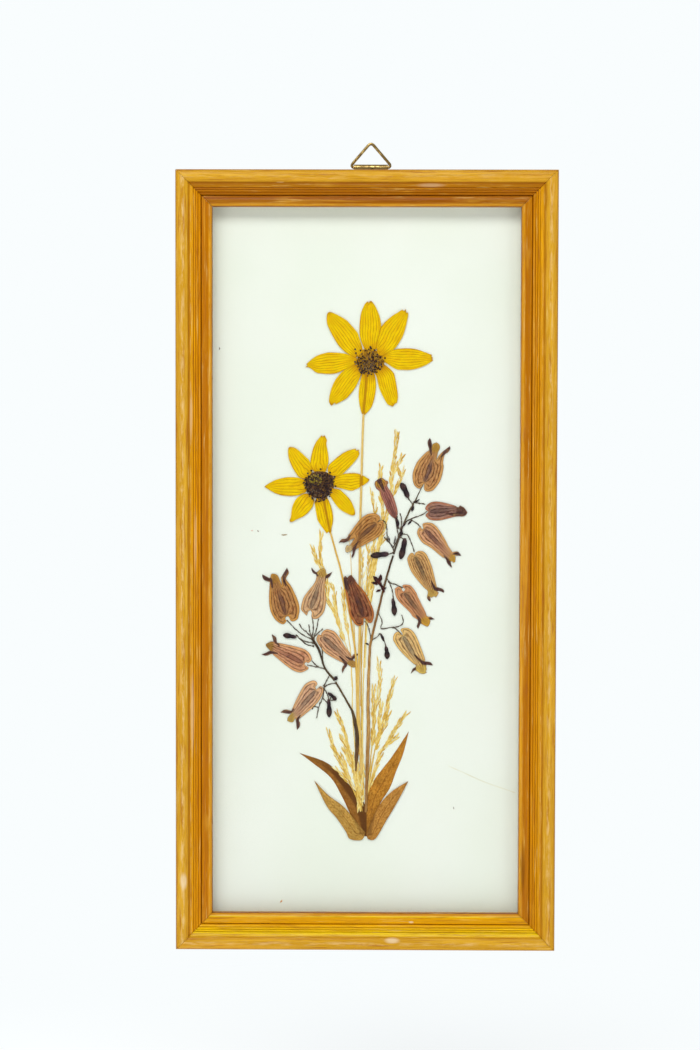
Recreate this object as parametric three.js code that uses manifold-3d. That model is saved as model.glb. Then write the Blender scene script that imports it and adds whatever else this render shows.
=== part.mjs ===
// Pressed flower frame: a narrow varnished pine frame with a pane, a pale sheet and a flat
// arrangement of pressed flowers, hung from a wire triangle held by a rolled brass strip.
//
// Units are millimetres, +Z is up and the front faces -Y. The origin is where a nail bears:
// under the inside of the wire triangle's top corner, on the wire's middle plane.

import * as THREE from "three";
import { mergeVertices } from "three/addons/utils/BufferGeometryUtils.js";
import Module from "manifold-3d";

const wasm = await Module();
wasm.setup();

// ---- driving dimensions -------------------------------------------------------------------

// frame
const FRAME_W = 156;
const FRAME_H = 320;
const RAIL_W = 15; // face width, outer edge to sight edge
const RAIL_D = 15; // depth, back to crown
const RABBET_W = 4.3; // how far the lip laps the pane
const MITRE_GAP = 0.2;

// stack inside the rabbet, as distances in front of the frame's back plane
const BOARD = { back: 1.4, front: 3.8 };
const PAPER = { back: 3.85, front: 4.25 };
const GLASS = { back: 6.0, front: 8.0 };
const LIP_BACK = 8.05;
const SHEET_PLAY = 0.3; // free edge of each sheet, all round
const BRAD_R = 0.6;
const BRAD_L = 7;
const BRAD_GAP = 0.1; // between a brad's outer end and the rabbet wall

// hanger
const WIRE_R = 0.6;
const LOOP_HALF_W = 9; // half base of the triangle, corner to corner, on the wire's centre line
const LOOP_H = 10.4;
const LOOP_FOOT_R = 1.2;
const LOOP_TOP_R = 1.5;
const LOOP_SEAM = 0.4; // butt joint of the bent wire, inside the roll
const STRAP_T = 0.4;
const STRAP_W = 14;
const ROLL_R = 0.9; // inside radius of the rolled end
const ROLL_RISE = 2; // roll axis above the frame's top edge
const ROLL_MOUTH = -125; // where the rolled end stops, in degrees from straight back
const STRAP_LAP = 8.4; // length of strap lying on the rail
const PIN_R = 0.55;
const PIN_HEAD_R = 1.2;
const PIN_DOME = 0.7;
const PIN_SPACING = 7.2;
const HANGER_OFFSET = 1.6; // hanger right of the frame's middle
const FACE_GAP = 0.05; // between faces that bear on each other

// pressed plants lie in thin layers in front of the paper
const LAYER_PITCH = 0.2;
const LAYER_T = 0.16;
const LAYER = { leaf: 0, spray: 0, upperStem: 1, lowerStem: 2, grass: 3, bloom: 4, lap: 5, disc: 6 };

// ---- derived places -----------------------------------------------------------------------

const halfTop = Math.atan2(LOOP_HALF_W, LOOP_H); // half angle of the triangle's top corner
const topCrest = LOOP_H - LOOP_TOP_R * (1 / Math.sin(halfTop) - 1);
const ROLL_Z = -(topCrest - WIRE_R); // roll axis below the nail seat
const BACK_Y = -(ROLL_R + STRAP_T) - FACE_GAP; // frame's back plane
const FRAME_Z = ROLL_Z - ROLL_RISE - FRAME_H / 2; // frame's middle
const FRAME_X = -HANGER_OFFSET;

// ---- materials ----------------------------------------------------------------------------

const finish = (color, roughness, metalness = 0) =>
  new THREE.MeshStandardMaterial({ color, roughness, metalness });

const PINE = 0xd89a2e;
const BRASS = 0x8a7a3c;
const STEEL = 0x9a958c;
const GLASS_TINT = 0xffffff;
const PAPER_TINT = 0xeaf1e2;
const BOARD_TINT = 0x7c5a38;
const FLORET = 0x4a3a26;
const DRY_LEAF = 0x9c6420;
const PETAL = 0xe6c20a;
const BELL = 0xa9713c;
const STRAW = 0xd9bd68;
const TWIG = 0x4a3d2c;

// ---- helpers ------------------------------------------------------------------------------

const root = new THREE.Group();
const frameGroup = new THREE.Group(); // its origin is the middle of the frame's back plane
frameGroup.position.set(FRAME_X, BACK_Y, FRAME_Z);
root.add(frameGroup);

function addMesh(parent, name, geometry, material) {
  const mesh = new THREE.Mesh(geometry, material);
  mesh.name = name;
  parent.add(mesh);
  return mesh;
}

function toManifold(geometry) {
  const bare = geometry.clone();
  bare.deleteAttribute("normal");
  bare.deleteAttribute("uv");
  const merged = mergeVertices(bare, 1e-4);
  return new wasm.Manifold(new wasm.Mesh({
    numProp: 3,
    vertProperties: new Float32Array(merged.attributes.position.array),
    triVerts: new Uint32Array(merged.index.array),
  }));
}

function fromManifold(solid) {
  const mesh = solid.getMesh();
  const geometry = new THREE.BufferGeometry();
  geometry.setAttribute("position", new THREE.BufferAttribute(mesh.vertProperties, 3));
  geometry.setIndex(new THREE.BufferAttribute(mesh.triVerts, 1));
  return geometry;
}

const union = (geometries) =>
  fromManifold(geometries.map(toManifold).reduce((whole, piece) => whole.add(piece)));

// A flat piece lying in the sheet: its outline is in sheet millimetres (x right, y up, from the
// middle of the frame) and its layer counts forward from the paper.
function pressedGeometry(outline, layer, thickness = LAYER_T) {
  const shape = new THREE.Shape(outline);
  const geometry = new THREE.ExtrudeGeometry(shape, { depth: thickness, bevelEnabled: false });
  geometry.rotateX(Math.PI / 2);
  geometry.translate(0, -(PAPER.front + FACE_GAP + layer * LAYER_PITCH), 0);
  return geometry;
}

const point = ([x, y]) => new THREE.Vector2(x, y);
const spline = (points, steps) => new THREE.SplineCurve(points.map(point)).getPoints(steps);

// A flat strip of smoothly changing width along a spline.
function ribbon(points, startWidth, endWidth, steps) {
  const curve = new THREE.SplineCurve(points.map(point));
  const left = [];
  const right = [];
  for (let i = 0; i <= steps; i += 1) {
    const t = i / steps;
    const centre = curve.getPoint(t);
    const tangent = curve.getTangent(t);
    const half = (startWidth + (endWidth - startWidth) * t) / 2;
    left.push(new THREE.Vector2(centre.x - tangent.y * half, centre.y + tangent.x * half));
    right.push(new THREE.Vector2(centre.x + tangent.y * half, centre.y - tangent.x * half));
  }
  return left.concat(right.reverse());
}

// Moves an outline drawn along +Y onto the sheet, turned clockwise from up.
function place(outline, [x, y], degrees) {
  const turn = -THREE.MathUtils.degToRad(degrees);
  const origin = new THREE.Vector2();
  const shift = new THREE.Vector2(x, y);
  return outline.map((p) => p.clone().rotateAround(origin, turn).add(shift));
}

// ---- moulding -----------------------------------------------------------------------------

// Section of the moulding: x is the inset from the outer edge, y the height above the back.
function mouldingSection() {
  const crown = RAIL_D;
  const s = new THREE.Shape();
  s.moveTo(0, 0);
  s.lineTo(RAIL_W - RABBET_W, 0);
  s.lineTo(RAIL_W - RABBET_W, LIP_BACK);
  s.lineTo(RAIL_W, LIP_BACK);
  s.lineTo(RAIL_W, crown - 4.2);
  s.quadraticCurveTo(RAIL_W, crown - 2.9, RAIL_W - 1.6, crown - 2.9); // sight bead
  s.quadraticCurveTo(RAIL_W - 3, crown - 2.9, RAIL_W - 3.9, crown - 4.3);
  s.lineTo(RAIL_W - 4.6, crown - 4.3); // groove
  s.lineTo(RAIL_W - 4.8, crown - 3.4);
  s.quadraticCurveTo(7.6, crown - 2.9, 6.6, crown - 1.4); // cove
  s.lineTo(6.0, crown - 0.7); // quirk
  s.quadraticCurveTo(4.2, crown, 3, crown); // crown
  s.quadraticCurveTo(0, crown, 0, crown - 2.8);
  s.closePath();
  return s;
}

function addRail(name, length, reach, quarterTurns) {
  const geometry = new THREE.ExtrudeGeometry(mouldingSection(), {
    depth: length, bevelEnabled: false, curveSegments: 4,
  });
  const pos = geometry.attributes.position;
  const trim = MITRE_GAP / Math.SQRT2;
  for (let i = 0; i < pos.count; i += 1) {
    const cut = pos.getX(i) + trim;
    pos.setZ(i, pos.getZ(i) === 0 ? cut : length - cut);
  }
  const basis = new THREE.Matrix4().makeBasis(
    new THREE.Vector3(0, 0, -1), new THREE.Vector3(0, -1, 0), new THREE.Vector3(-1, 0, 0));
  geometry.applyMatrix4(basis);
  geometry.translate(length / 2, 0, reach);
  geometry.deleteAttribute("normal");
  const rail = addMesh(frameGroup, name, geometry, finish(PINE, 0.3));
  rail.rotation.y = (quarterTurns * Math.PI) / 2;
}

addRail("rail_top", FRAME_W, FRAME_H / 2, 0);
addRail("rail_right", FRAME_H, FRAME_W / 2, 1);
addRail("rail_bottom", FRAME_W, FRAME_H / 2, 2);
addRail("rail_left", FRAME_H, FRAME_W / 2, 3);

// ---- sheets in the rabbet -----------------------------------------------------------------

const rabbetInset = RAIL_W - RABBET_W;
const sheetW = FRAME_W - 2 * (rabbetInset + SHEET_PLAY);
const sheetH = FRAME_H - 2 * (rabbetInset + SHEET_PLAY);

function addSheet(name, { back, front }, material) {
  const sheet = addMesh(frameGroup, name, new THREE.BoxGeometry(sheetW, front - back, sheetH), material);
  sheet.position.y = -(back + front) / 2;
}

const glassFinish = finish(GLASS_TINT, 0.05);
glassFinish.transparent = true;
glassFinish.opacity = 0.2;
addSheet("glass_pane", GLASS, glassFinish);
addSheet("mount_paper", PAPER, finish(PAPER_TINT, 0.9));
addSheet("backing_board", BOARD, finish(BOARD_TINT, 0.8));

// Brads lie on the board's back, their inner ends free and their outer ends against the rabbet.
for (const side of [-1, 1]) {
  for (const end of [-1, 1]) {
    const geometry = new THREE.CylinderGeometry(BRAD_R, BRAD_R, BRAD_L, 8);
    geometry.rotateZ(Math.PI / 2);
    const name = `brad_${end > 0 ? "upper" : "lower"}_${side > 0 ? "right" : "left"}`;
    const brad = addMesh(frameGroup, name, geometry, finish(STEEL, 0.35, 1));
    const wall = FRAME_W / 2 - rabbetInset;
    const inFrom = wall - BRAD_GAP - BRAD_L / 2;
    brad.position.set(side * inFrom, -(BOARD.back - BRAD_R - FACE_GAP), (end * FRAME_H) / 4);
  }
}

// ---- hanger -------------------------------------------------------------------------------

// Strip with its top end rolled back round the wire, seen from its end: x is depth, y is up.
function strapSection() {
  const outer = ROLL_R + STRAP_T;
  const mouth = THREE.MathUtils.degToRad(ROLL_MOUTH);
  const foot = -(ROLL_RISE + STRAP_LAP);
  const s = new THREE.Shape();
  s.moveTo(-outer, foot);
  s.lineTo(-outer, 0);
  s.absarc(0, 0, outer, Math.PI, mouth, true);
  s.absarc(0, 0, ROLL_R, mouth, Math.PI, false);
  s.lineTo(-ROLL_R, foot);
  s.closePath();
  return s;
}

function pinX(side) {
  return (side * PIN_SPACING) / 2;
}

const pinZ = ROLL_Z - ROLL_RISE - STRAP_LAP / 2;

function addStrap() {
  const strip = new THREE.ExtrudeGeometry(strapSection(), {
    depth: STRAP_W, bevelEnabled: false, curveSegments: 16,
  });
  const basis = new THREE.Matrix4().makeBasis(
    new THREE.Vector3(0, 1, 0), new THREE.Vector3(0, 0, 1), new THREE.Vector3(1, 0, 0));
  strip.applyMatrix4(basis);
  strip.translate(-STRAP_W / 2, 0, ROLL_Z);
  let solid = toManifold(strip);
  const drillR = PIN_R + FACE_GAP;
  for (const side of [-1, 1]) {
    const drill = new THREE.CylinderGeometry(drillR, drillR, STRAP_T * 6, 12);
    drill.translate(pinX(side), -ROLL_R, pinZ);
    solid = solid.subtract(toManifold(drill));
  }
  addMesh(root, "hanger_strap", fromManifold(solid), finish(BRASS, 0.4, 1));
}

// Round-headed pin: shank through the strip, domed head behind it.
function addPin(name, side) {
  const shankEnd = STRAP_T;
  const domeSteps = 4;
  const profile = [new THREE.Vector2(0, -shankEnd), new THREE.Vector2(PIN_R, -shankEnd),
    new THREE.Vector2(PIN_R, FACE_GAP), new THREE.Vector2(PIN_HEAD_R, FACE_GAP)];
  for (let i = 1; i <= domeSteps; i += 1) {
    const angle = (i / domeSteps) * (Math.PI / 2);
    const height = FACE_GAP + PIN_DOME * Math.sin(angle);
    profile.push(new THREE.Vector2(PIN_HEAD_R * Math.cos(angle), height));
  }
  profile[profile.length - 1].x = 0;
  const pin = addMesh(root, name, new THREE.LatheGeometry(profile, 12), finish(BRASS, 0.35, 1));
  pin.position.set(pinX(side), -ROLL_R, pinZ);
}

// Centre line of the bent wire, from one side of the seam round to the other.
function loopPath() {
  const path = new THREE.CurvePath();
  const footTurn = Math.PI / 2 + halfTop; // how far the wire turns at each foot
  const footRun = LOOP_FOOT_R * Math.tan(footTurn / 2);
  const topRun = LOOP_TOP_R / Math.tan(halfTop);
  const foot = (side) => new THREE.Vector3(side * LOOP_HALF_W, 0, 0);
  const top = new THREE.Vector3(0, 0, LOOP_H);
  const along = (from, to, distance) => to.clone().sub(from).setLength(distance).add(from);
  const seam = (side) => new THREE.Vector3((side * LOOP_SEAM) / 2, 0, 0);
  const corner = (from, at, to, run) => [along(at, from, run), at, along(at, to, run)];
  const corners = [corner(seam(1), foot(1), top, footRun), corner(foot(1), top, foot(-1), topRun),
    corner(top, foot(-1), seam(-1), footRun)];
  const ease = 0.62; // how close each bend keeps to a true arc
  let last = seam(1);
  for (const [start, at, end] of corners) {
    path.add(new THREE.LineCurve3(last, start));
    const leave = start.clone().lerp(at, ease);
    const arrive = end.clone().lerp(at, ease);
    path.add(new THREE.CubicBezierCurve3(start, leave, arrive, end));
    last = end;
  }
  path.add(new THREE.LineCurve3(last, seam(-1)));
  return path;
}

function addTriangle() {
  const section = new THREE.Shape();
  section.absarc(0, 0, WIRE_R, 0, 2 * Math.PI);
  const wire = new THREE.ExtrudeGeometry(section, {
    steps: 76, extrudePath: loopPath(), curveSegments: 4, bevelEnabled: false,
  });
  wire.translate(0, 0, ROLL_Z);
  addMesh(root, "hanger_triangle", wire, finish(BRASS, 0.35, 1));
}

addStrap();
addPin("strap_pin_left", -1);
addPin("strap_pin_right", 1);
addTriangle();

// ---- yellow flowers -----------------------------------------------------------------------

const PETAL_START = 3; // from the flower's middle to the petal's foot
const TOOTH_DEPTH = 1.1;
const DISC_R = 6;

// Half width of a petal as a share of its widest, from its foot at 0 to its teeth at 1.
const petalHalf = (s) => Math.sin(Math.PI * (0.08 + 0.84 * s ** 1.15)) ** 0.75;

// A strap-shaped petal drawn along +Y from the flower's middle, with three blunt teeth.
function petalOutline(length, width) {
  const notch = length - TOOTH_DEPTH;
  const tooth = width / 6;
  const steps = 9;
  const side = [];
  for (let i = 0; i <= steps; i += 1) {
    const s = i / steps;
    side.push([(width / 2) * petalHalf(s), PETAL_START + (notch - PETAL_START) * s]);
  }
  const outerTooth = [tooth, length - TOOTH_DEPTH / 5];
  const valley = [tooth / 2, notch];
  const mirror = ([x, y]) => [-x, y];
  const teeth = [outerTooth, valley, [0, length], mirror(valley), mirror(outerTooth)];
  return [...side, ...teeth, ...side.map(mirror).reverse()].map(point);
}

// Each petal is [degrees clockwise from up, length, width].
function addFlower(name, centre, petals) {
  petals.forEach(([degrees, length, width], i) => {
    const layer = i % 2 === 0 ? LAYER.bloom : LAYER.lap;
    const outline = place(petalOutline(length, width), centre, degrees);
    addMesh(frameGroup, `${name}_petal_${i + 1}`, pressedGeometry(outline, layer), finish(PETAL, 0.6));
  });
  const circle = new THREE.Shape().absarc(centre[0], centre[1], DISC_R, 0, 2 * Math.PI);
  const rim = circle.getPoints(10);
  const disc = pressedGeometry(rim.slice(0, -1), LAYER.disc, LAYER_PITCH * 2 - FACE_GAP);
  addMesh(frameGroup, `${name}_disc`, disc, finish(FLORET, 0.8));
}

const UPPER_CENTRE = [1.3, 82.3];
const LOWER_CENTRE = [-19.3, 31.5];

addFlower("upper", UPPER_CENTRE, [
  [0, 24.6, 8.8], [35, 25.3, 8.4], [87, 26, 8.8], [152, 20.6, 7.4],
  [186, 22, 7.2], [220, 23.4, 8.2], [266, 26.2, 8.5], [319, 25.9, 9],
]);
addFlower("lower", LOWER_CENTRE, [
  [4, 20.6, 7.4], [49, 21.5, 6.6], [83, 20.7, 7], [131, 18.9, 6.2],
  [168, 20.5, 7], [218, 19.1, 6.6], [268, 22.5, 7.8], [321, 19.5, 6.8],
]);

function addStrip(name, points, widths, layer, steps) {
  const outline = ribbon(points, widths[0], widths[1], steps);
  addMesh(frameGroup, name, pressedGeometry(outline, layer), finish(STRAW, 0.7));
}

addStrip("upper_stem",
  [[0.5, 72], [-1.2, 58], [-2, 33], [-2.6, 3], [-2.5, -26], [-3.1, -57], [-2.2, -74], [-1.6, -88]],
  [1, 1.2], LAYER.upperStem, 18);
addStrip("lower_stem",
  [[-17.4, 24], [-14.5, 12.7], [-12.8, 5], [-10.1, -5], [-6.3, -24], [-4, -41], [-3.5, -57],
    [-3.1, -80]],
  [0.9, 1.1], LAYER.lowerStem, 18);

// ---- heart-shaped flowers -----------------------------------------------------------------

// Drawn along +Y from the notch where its stalk joins: two lobes behind the notch, a body that
// narrows to the mouth, two outer tips that bend back, and the blunt inner petal between them.
function bellOutline(length, width, tipSpread) {
  const neck = 0.42; // half width where the tips part from the body
  const body = [[0, 0], [0.3, -0.1], [0.72, -0.08], [0.98, 0.1], [0.96, 0.32], [0.7, 0.6],
    [neck, 0.84]];
  const tip = [[neck + 0.5 * tipSpread, 0.98], [neck + 0.75 * tipSpread, 1.1],
    [neck * 0.8 + 0.3 * tipSpread, 1.02]];
  const inner = [[0.3, 1], [0.24, 1.07], [0, 1.1]];
  const half = [...spline(body, 10).map((p) => [p.x, p.y]), ...tip, ...inner];
  const left = half.slice(1, -1).map(([x, y]) => [-x, y]).reverse();
  return [...half, ...left].map(([x, y]) => new THREE.Vector2((x * width) / 2, y * length));
}

// Each flower is [notch place, degrees clockwise from up, length, width, spread of its tips].
function addBells(side, bells) {
  bells.forEach(([at, degrees, length, width, spread], i) => {
    const outline = place(bellOutline(length, width, spread), at, degrees);
    const geometry = pressedGeometry(outline, LAYER.bloom);
    addMesh(frameGroup, `${side}_flower_${i + 1}`, geometry, finish(BELL, 0.6));
  });
}

addBells("right", [
  [[23.6, 31.2], 17, 17.3, 12.2, 0.8],
  [[12, 18.2], -22, 15.6, 4.3, 0],
  [[24.6, 20.8], 91, 15.8, 7.2, 0],
  [[7, 17], -128, 18.6, 11.6, 0.7],
  [[21.9, 14.1], 132, 19, 9.4, 0.8],
  [[20.3, 3.2], 157, 17.8, 10.2, 0.8],
  [[15.3, -10.9], 145, 16.8, 8.7, 0.9],
  [[-0.6, -25.2], -21, 18, 8.4, 0],
  [[14.6, -29.6], 149, 17.4, 8.8, 0.9],
]);
addBells("left", [
  [[-33, -24.4], -13, 17.6, 12.2, 0.7],
  [[-22.2, -22.4], 13, 16.8, 10.2, 0.8],
  [[-24.4, -43.4], -62, 17.6, 9.4, 0.8],
  [[-18.4, -30.2], 135, 17, 8.8, 0.9],
  [[-19.9, -51.6], -141, 17, 8.8, 0.8],
]);

// ---- spray stems --------------------------------------------------------------------------

const TWIG_W = 0.55;

// Main axis with its side twigs and buds, grown as one piece.
function addSpray(name, axis, axisWidths, twigs, buds) {
  const strips = [ribbon(axis, axisWidths[0], axisWidths[1], 12)];
  twigs.forEach((twig) => strips.push(ribbon(twig, TWIG_W, TWIG_W, 6)));
  buds.forEach(([at, degrees, length, width]) => {
    const bud = new THREE.EllipseCurve(0, 0, width / 2, length / 2).getPoints(10).slice(0, -1);
    strips.push(place(bud, at, degrees));
  });
  const solid = union(strips.map((outline) => pressedGeometry(outline, LAYER.spray)));
  addMesh(frameGroup, name, solid, finish(TWIG, 0.8));
}

addSpray("right_spray_lower",
  [[0.2, -94], [0.7, -85], [1.1, -69], [1, -57], [1.5, -39.4], [2.1, -33.2], [5.1, -20.4],
    [8.3, -7.2], [11.1, 2.4]],
  [1.2, 0.8],
  [
    [[8.3, -6.7], [10, -8.8], [12.5, -9.6], [15.2, -11]],
    [[9.3, -8.1], [10.8, -11.7], [11.4, -15.8]],
    [[4.9, -20.8], [6.7, -24.9], [6.3, -27.8], [11.3, -27.4], [14.6, -29.9]],
    [[11, -27.4], [14.2, -26.6], [15.4, -24.9], [14.8, -22]],
    [[2.2, -32.2], [1, -27], [-0.5, -24.6]],
    [[2.4, -32.6], [4.7, -31.2], [5.9, -29.9], [7.6, -32.8], [8.3, -35.4]],
  ],
  [[[11.6, -18.4], -5, 7.2, 2.1], [[8.6, -37.8], -10, 5.6, 2.2]]);
addSpray("right_spray_upper",
  [[11.3, 3], [13.6, 9.8], [15.5, 15.6], [17.9, 20.9], [19.8, 24.3], [23.3, 31.6]],
  [0.8, 0.6],
  [
    [[13.4, 10], [12.8, 13.1], [12.1, 17.6]],
    [[19.2, 23.6], [17.7, 25.5], [16.9, 27.6]],
    [[19.3, 24.4], [21.8, 24], [24.2, 23.6]],
    [[15.6, 16], [18.5, 17.6], [22.7, 19.1], [25, 20.6]],
    [[18.3, 17.4], [21, 15.6], [22.4, 14.2]],
    [[13.9, 11.2], [16.9, 11], [18.6, 7.7], [19.9, 4]],
    [[11.6, 4.2], [10.3, 6.9], [8.7, 8.5], [7.5, 10]],
    [[8.8, 8.3], [8.3, 15], [6.8, 17]],
    [[11.3, 3.6], [9.1, 3], [6.2, 2.4]],
    [[13.7, 10], [15.2, 9.4], [15.9, 7.6]],
  ],
  [[[15.8, 29.4], -28, 6.6, 2.6], [[15.2, 5], 14, 8.2, 2.8], [[4.9, 2.3], 82, 6.4, 2.5]]);
addSpray("left_spray_lower",
  [[-3.9, -85], [-3.5, -73], [-5.1, -63.5], [-7, -59.4], [-12.4, -50]],
  [1.6, 0.9],
  [
    [[-12.1, -50.6], [-14.3, -50.7], [-16.3, -51.5], [-17.6, -52.4], [-19.4, -52.3]],
    [[-17.4, -52.2], [-15.6, -55.7], [-15.1, -59]],
    [[-15.4, -57.5], [-12.6, -57.6]],
    [[-17.2, -52.9], [-17.8, -56.4], [-19.2, -59.8], [-20.3, -65]],
  ],
  [[[-15, -61.2], 0, 6.6, 2.3]]);
addSpray("left_spray_upper",
  [[-12.8, -49.4], [-16.9, -44.1], [-19.3, -36.9], [-22.3, -31.8]],
  [0.9, 0.8],
  [
    [[-22, -32.4], [-25.5, -30.8], [-29.2, -28], [-32.6, -24.4]],
    [[-22, -32], [-23.8, -30], [-26.3, -27.9], [-27.5, -25.9]],
    [[-22.2, -32], [-21.7, -27.5], [-22.2, -23]],
    [[-22, -32.2], [-20.2, -30.2], [-17.8, -28]],
    [[-21.2, -34], [-26, -32.8], [-29, -30.4]],
    [[-17.8, -42.4], [-18, -37], [-19, -34.4]],
    [[-16.6, -44.6], [-20.5, -43.7], [-24.2, -43]],
  ],
  [[[-31.6, -30.8], 86, 5.8, 2.4]]);

// ---- leaves -------------------------------------------------------------------------------

// A leaf is two smooth edges that run from its tip to its base.
function addLeaf(name, layer, edges) {
  const [above, below] = edges.map((edge) => spline(edge, 8));
  const outline = above.concat(below.reverse().slice(1, -1));
  addMesh(frameGroup, name, pressedGeometry(outline, layer), finish(DRY_LEAF, 0.7));
}

addLeaf("leaf_1", LAYER.leaf, [
  [[-27.6, -79.4], [-15.7, -83.8], [-9, -91.5], [-4.2, -97.6], [-0.2, -111.2]],
  [[-27.6, -79.4], [-22.1, -83.5], [-14.4, -89.8], [-9.8, -97.5], [-6, -105.6], [-0.2, -111.2]],
]);
addLeaf("leaf_2", LAYER.lap, [
  [[-21.3, -90.8], [-15.3, -97.1], [-8.6, -102.2], [-0.4, -113.4]],
  [[-21.3, -90.8], [-16.1, -101.4], [-12.1, -106.3], [-7.4, -111], [-4.6, -115.4], [-0.4, -113.4]],
]);
addLeaf("leaf_3", LAYER.leaf, [
  [[17.9, -70.3], [10.8, -81.1], [4.4, -90.7], [1.2, -96.6], [0.6, -111.4]],
  [[17.9, -70.3], [15.5, -79.9], [12.7, -87], [10, -94.2], [5.3, -101.3], [0.6, -111.4]],
]);
addLeaf("leaf_4", LAYER.lap, [
  [[17.7, -91], [10.4, -95.8], [4.9, -102.4], [0.6, -114.4]],
  [[17.7, -91], [13.6, -99], [8.5, -107.8], [3.8, -115], [0.6, -114.4]],
]);

// ---- tall grass ---------------------------------------------------------------------------

addStrip("grass_right",
  [[13.3, 51.9], [12.1, 44], [10.5, 32], [9.5, 17.2], [7.5, 0.7], [3.9, -32.4], [1.2, -66],
    [-0.4, -100]],
  [0.6, 1], LAYER.grass, 18);
addStrip("grass_left",
  [[-18.7, 10.5], [-18.5, -1.5], [-15.6, -9.7], [-12.7, -17.6], [-8.9, -32.4], [-5.6, -53.2],
    [-2.4, -99]],
  [0.6, 1], LAYER.grass, 18);
addStrip("grass_middle",
  [[6, 38.1], [5.8, 25.4], [4.6, 6], [2, -16], [-0.6, -46], [-1.4, -76]],
  [0.6, 0.9], LAYER.grass, 16);

export default root;
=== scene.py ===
import math
import random

import bpy
import numpy as np
from mathutils import Matrix, Vector, noise
from mathutils.geometry import delaunay_2d_cdt


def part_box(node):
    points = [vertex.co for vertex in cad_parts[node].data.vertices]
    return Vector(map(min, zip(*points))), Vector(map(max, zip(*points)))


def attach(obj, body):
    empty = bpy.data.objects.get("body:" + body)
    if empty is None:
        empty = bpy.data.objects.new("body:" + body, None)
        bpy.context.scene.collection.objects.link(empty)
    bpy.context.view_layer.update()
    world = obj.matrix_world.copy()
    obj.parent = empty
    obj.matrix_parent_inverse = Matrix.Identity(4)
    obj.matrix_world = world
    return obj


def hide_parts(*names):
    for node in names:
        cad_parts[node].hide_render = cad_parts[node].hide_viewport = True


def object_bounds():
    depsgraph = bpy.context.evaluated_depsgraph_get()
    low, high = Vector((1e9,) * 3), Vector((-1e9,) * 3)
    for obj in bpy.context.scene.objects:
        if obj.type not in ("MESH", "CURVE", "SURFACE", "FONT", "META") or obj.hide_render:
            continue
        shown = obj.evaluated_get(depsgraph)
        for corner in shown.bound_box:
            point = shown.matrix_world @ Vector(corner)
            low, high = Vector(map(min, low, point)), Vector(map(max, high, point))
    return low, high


# A pressed flower frame. Lengths are millimetres until on_sheet or to_metres turns them into
# metres. Sheet coordinates are x to the right and z up from the middle of the frame, and d is the
# distance in front of the paper.

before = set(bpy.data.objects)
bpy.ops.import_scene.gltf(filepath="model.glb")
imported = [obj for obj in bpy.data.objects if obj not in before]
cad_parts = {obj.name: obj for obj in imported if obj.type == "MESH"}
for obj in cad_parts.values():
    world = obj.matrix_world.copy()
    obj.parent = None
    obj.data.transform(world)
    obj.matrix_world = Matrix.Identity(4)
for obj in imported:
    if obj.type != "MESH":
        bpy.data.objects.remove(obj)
CAD_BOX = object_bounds()

MM = 0.001
PAPER_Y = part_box("mount_paper")[0].y
BACK_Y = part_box("rail_top")[1].y
MID_X = (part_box("rail_left")[0].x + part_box("rail_right")[1].x) / 2
MID_Z = (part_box("rail_bottom")[0].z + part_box("rail_top")[1].z) / 2
FRAME_W = (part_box("rail_right")[1].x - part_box("rail_left")[0].x) / MM
FRAME_H = (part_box("rail_top")[1].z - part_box("rail_bottom")[0].z) / MM
RAIL_W = (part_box("rail_top")[1].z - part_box("rail_top")[0].z) / MM

# depths in front of the paper, from the lowest piece to the highest
LOW, STEM, GRASS, BLOOM, LAP, DISC = 0.04, 0.10, 0.28, 0.42, 0.55, 0.62


# ---- colours and shader nodes ---------------------------------------------------------------


def rgb(red, green, blue):
    """An eight-bit screen colour as the linear colour that a shader takes."""
    screen = np.array([red, green, blue]) / 255
    linear = np.where(screen <= 0.04045, screen / 12.92, ((screen + 0.055) / 1.055) ** 2.4)
    return (*linear.tolist(), 1.0)


def tone(colour):
    """A screen colour as a linear colour to blend per point."""
    return np.array(rgb(*colour)[:3])


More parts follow.
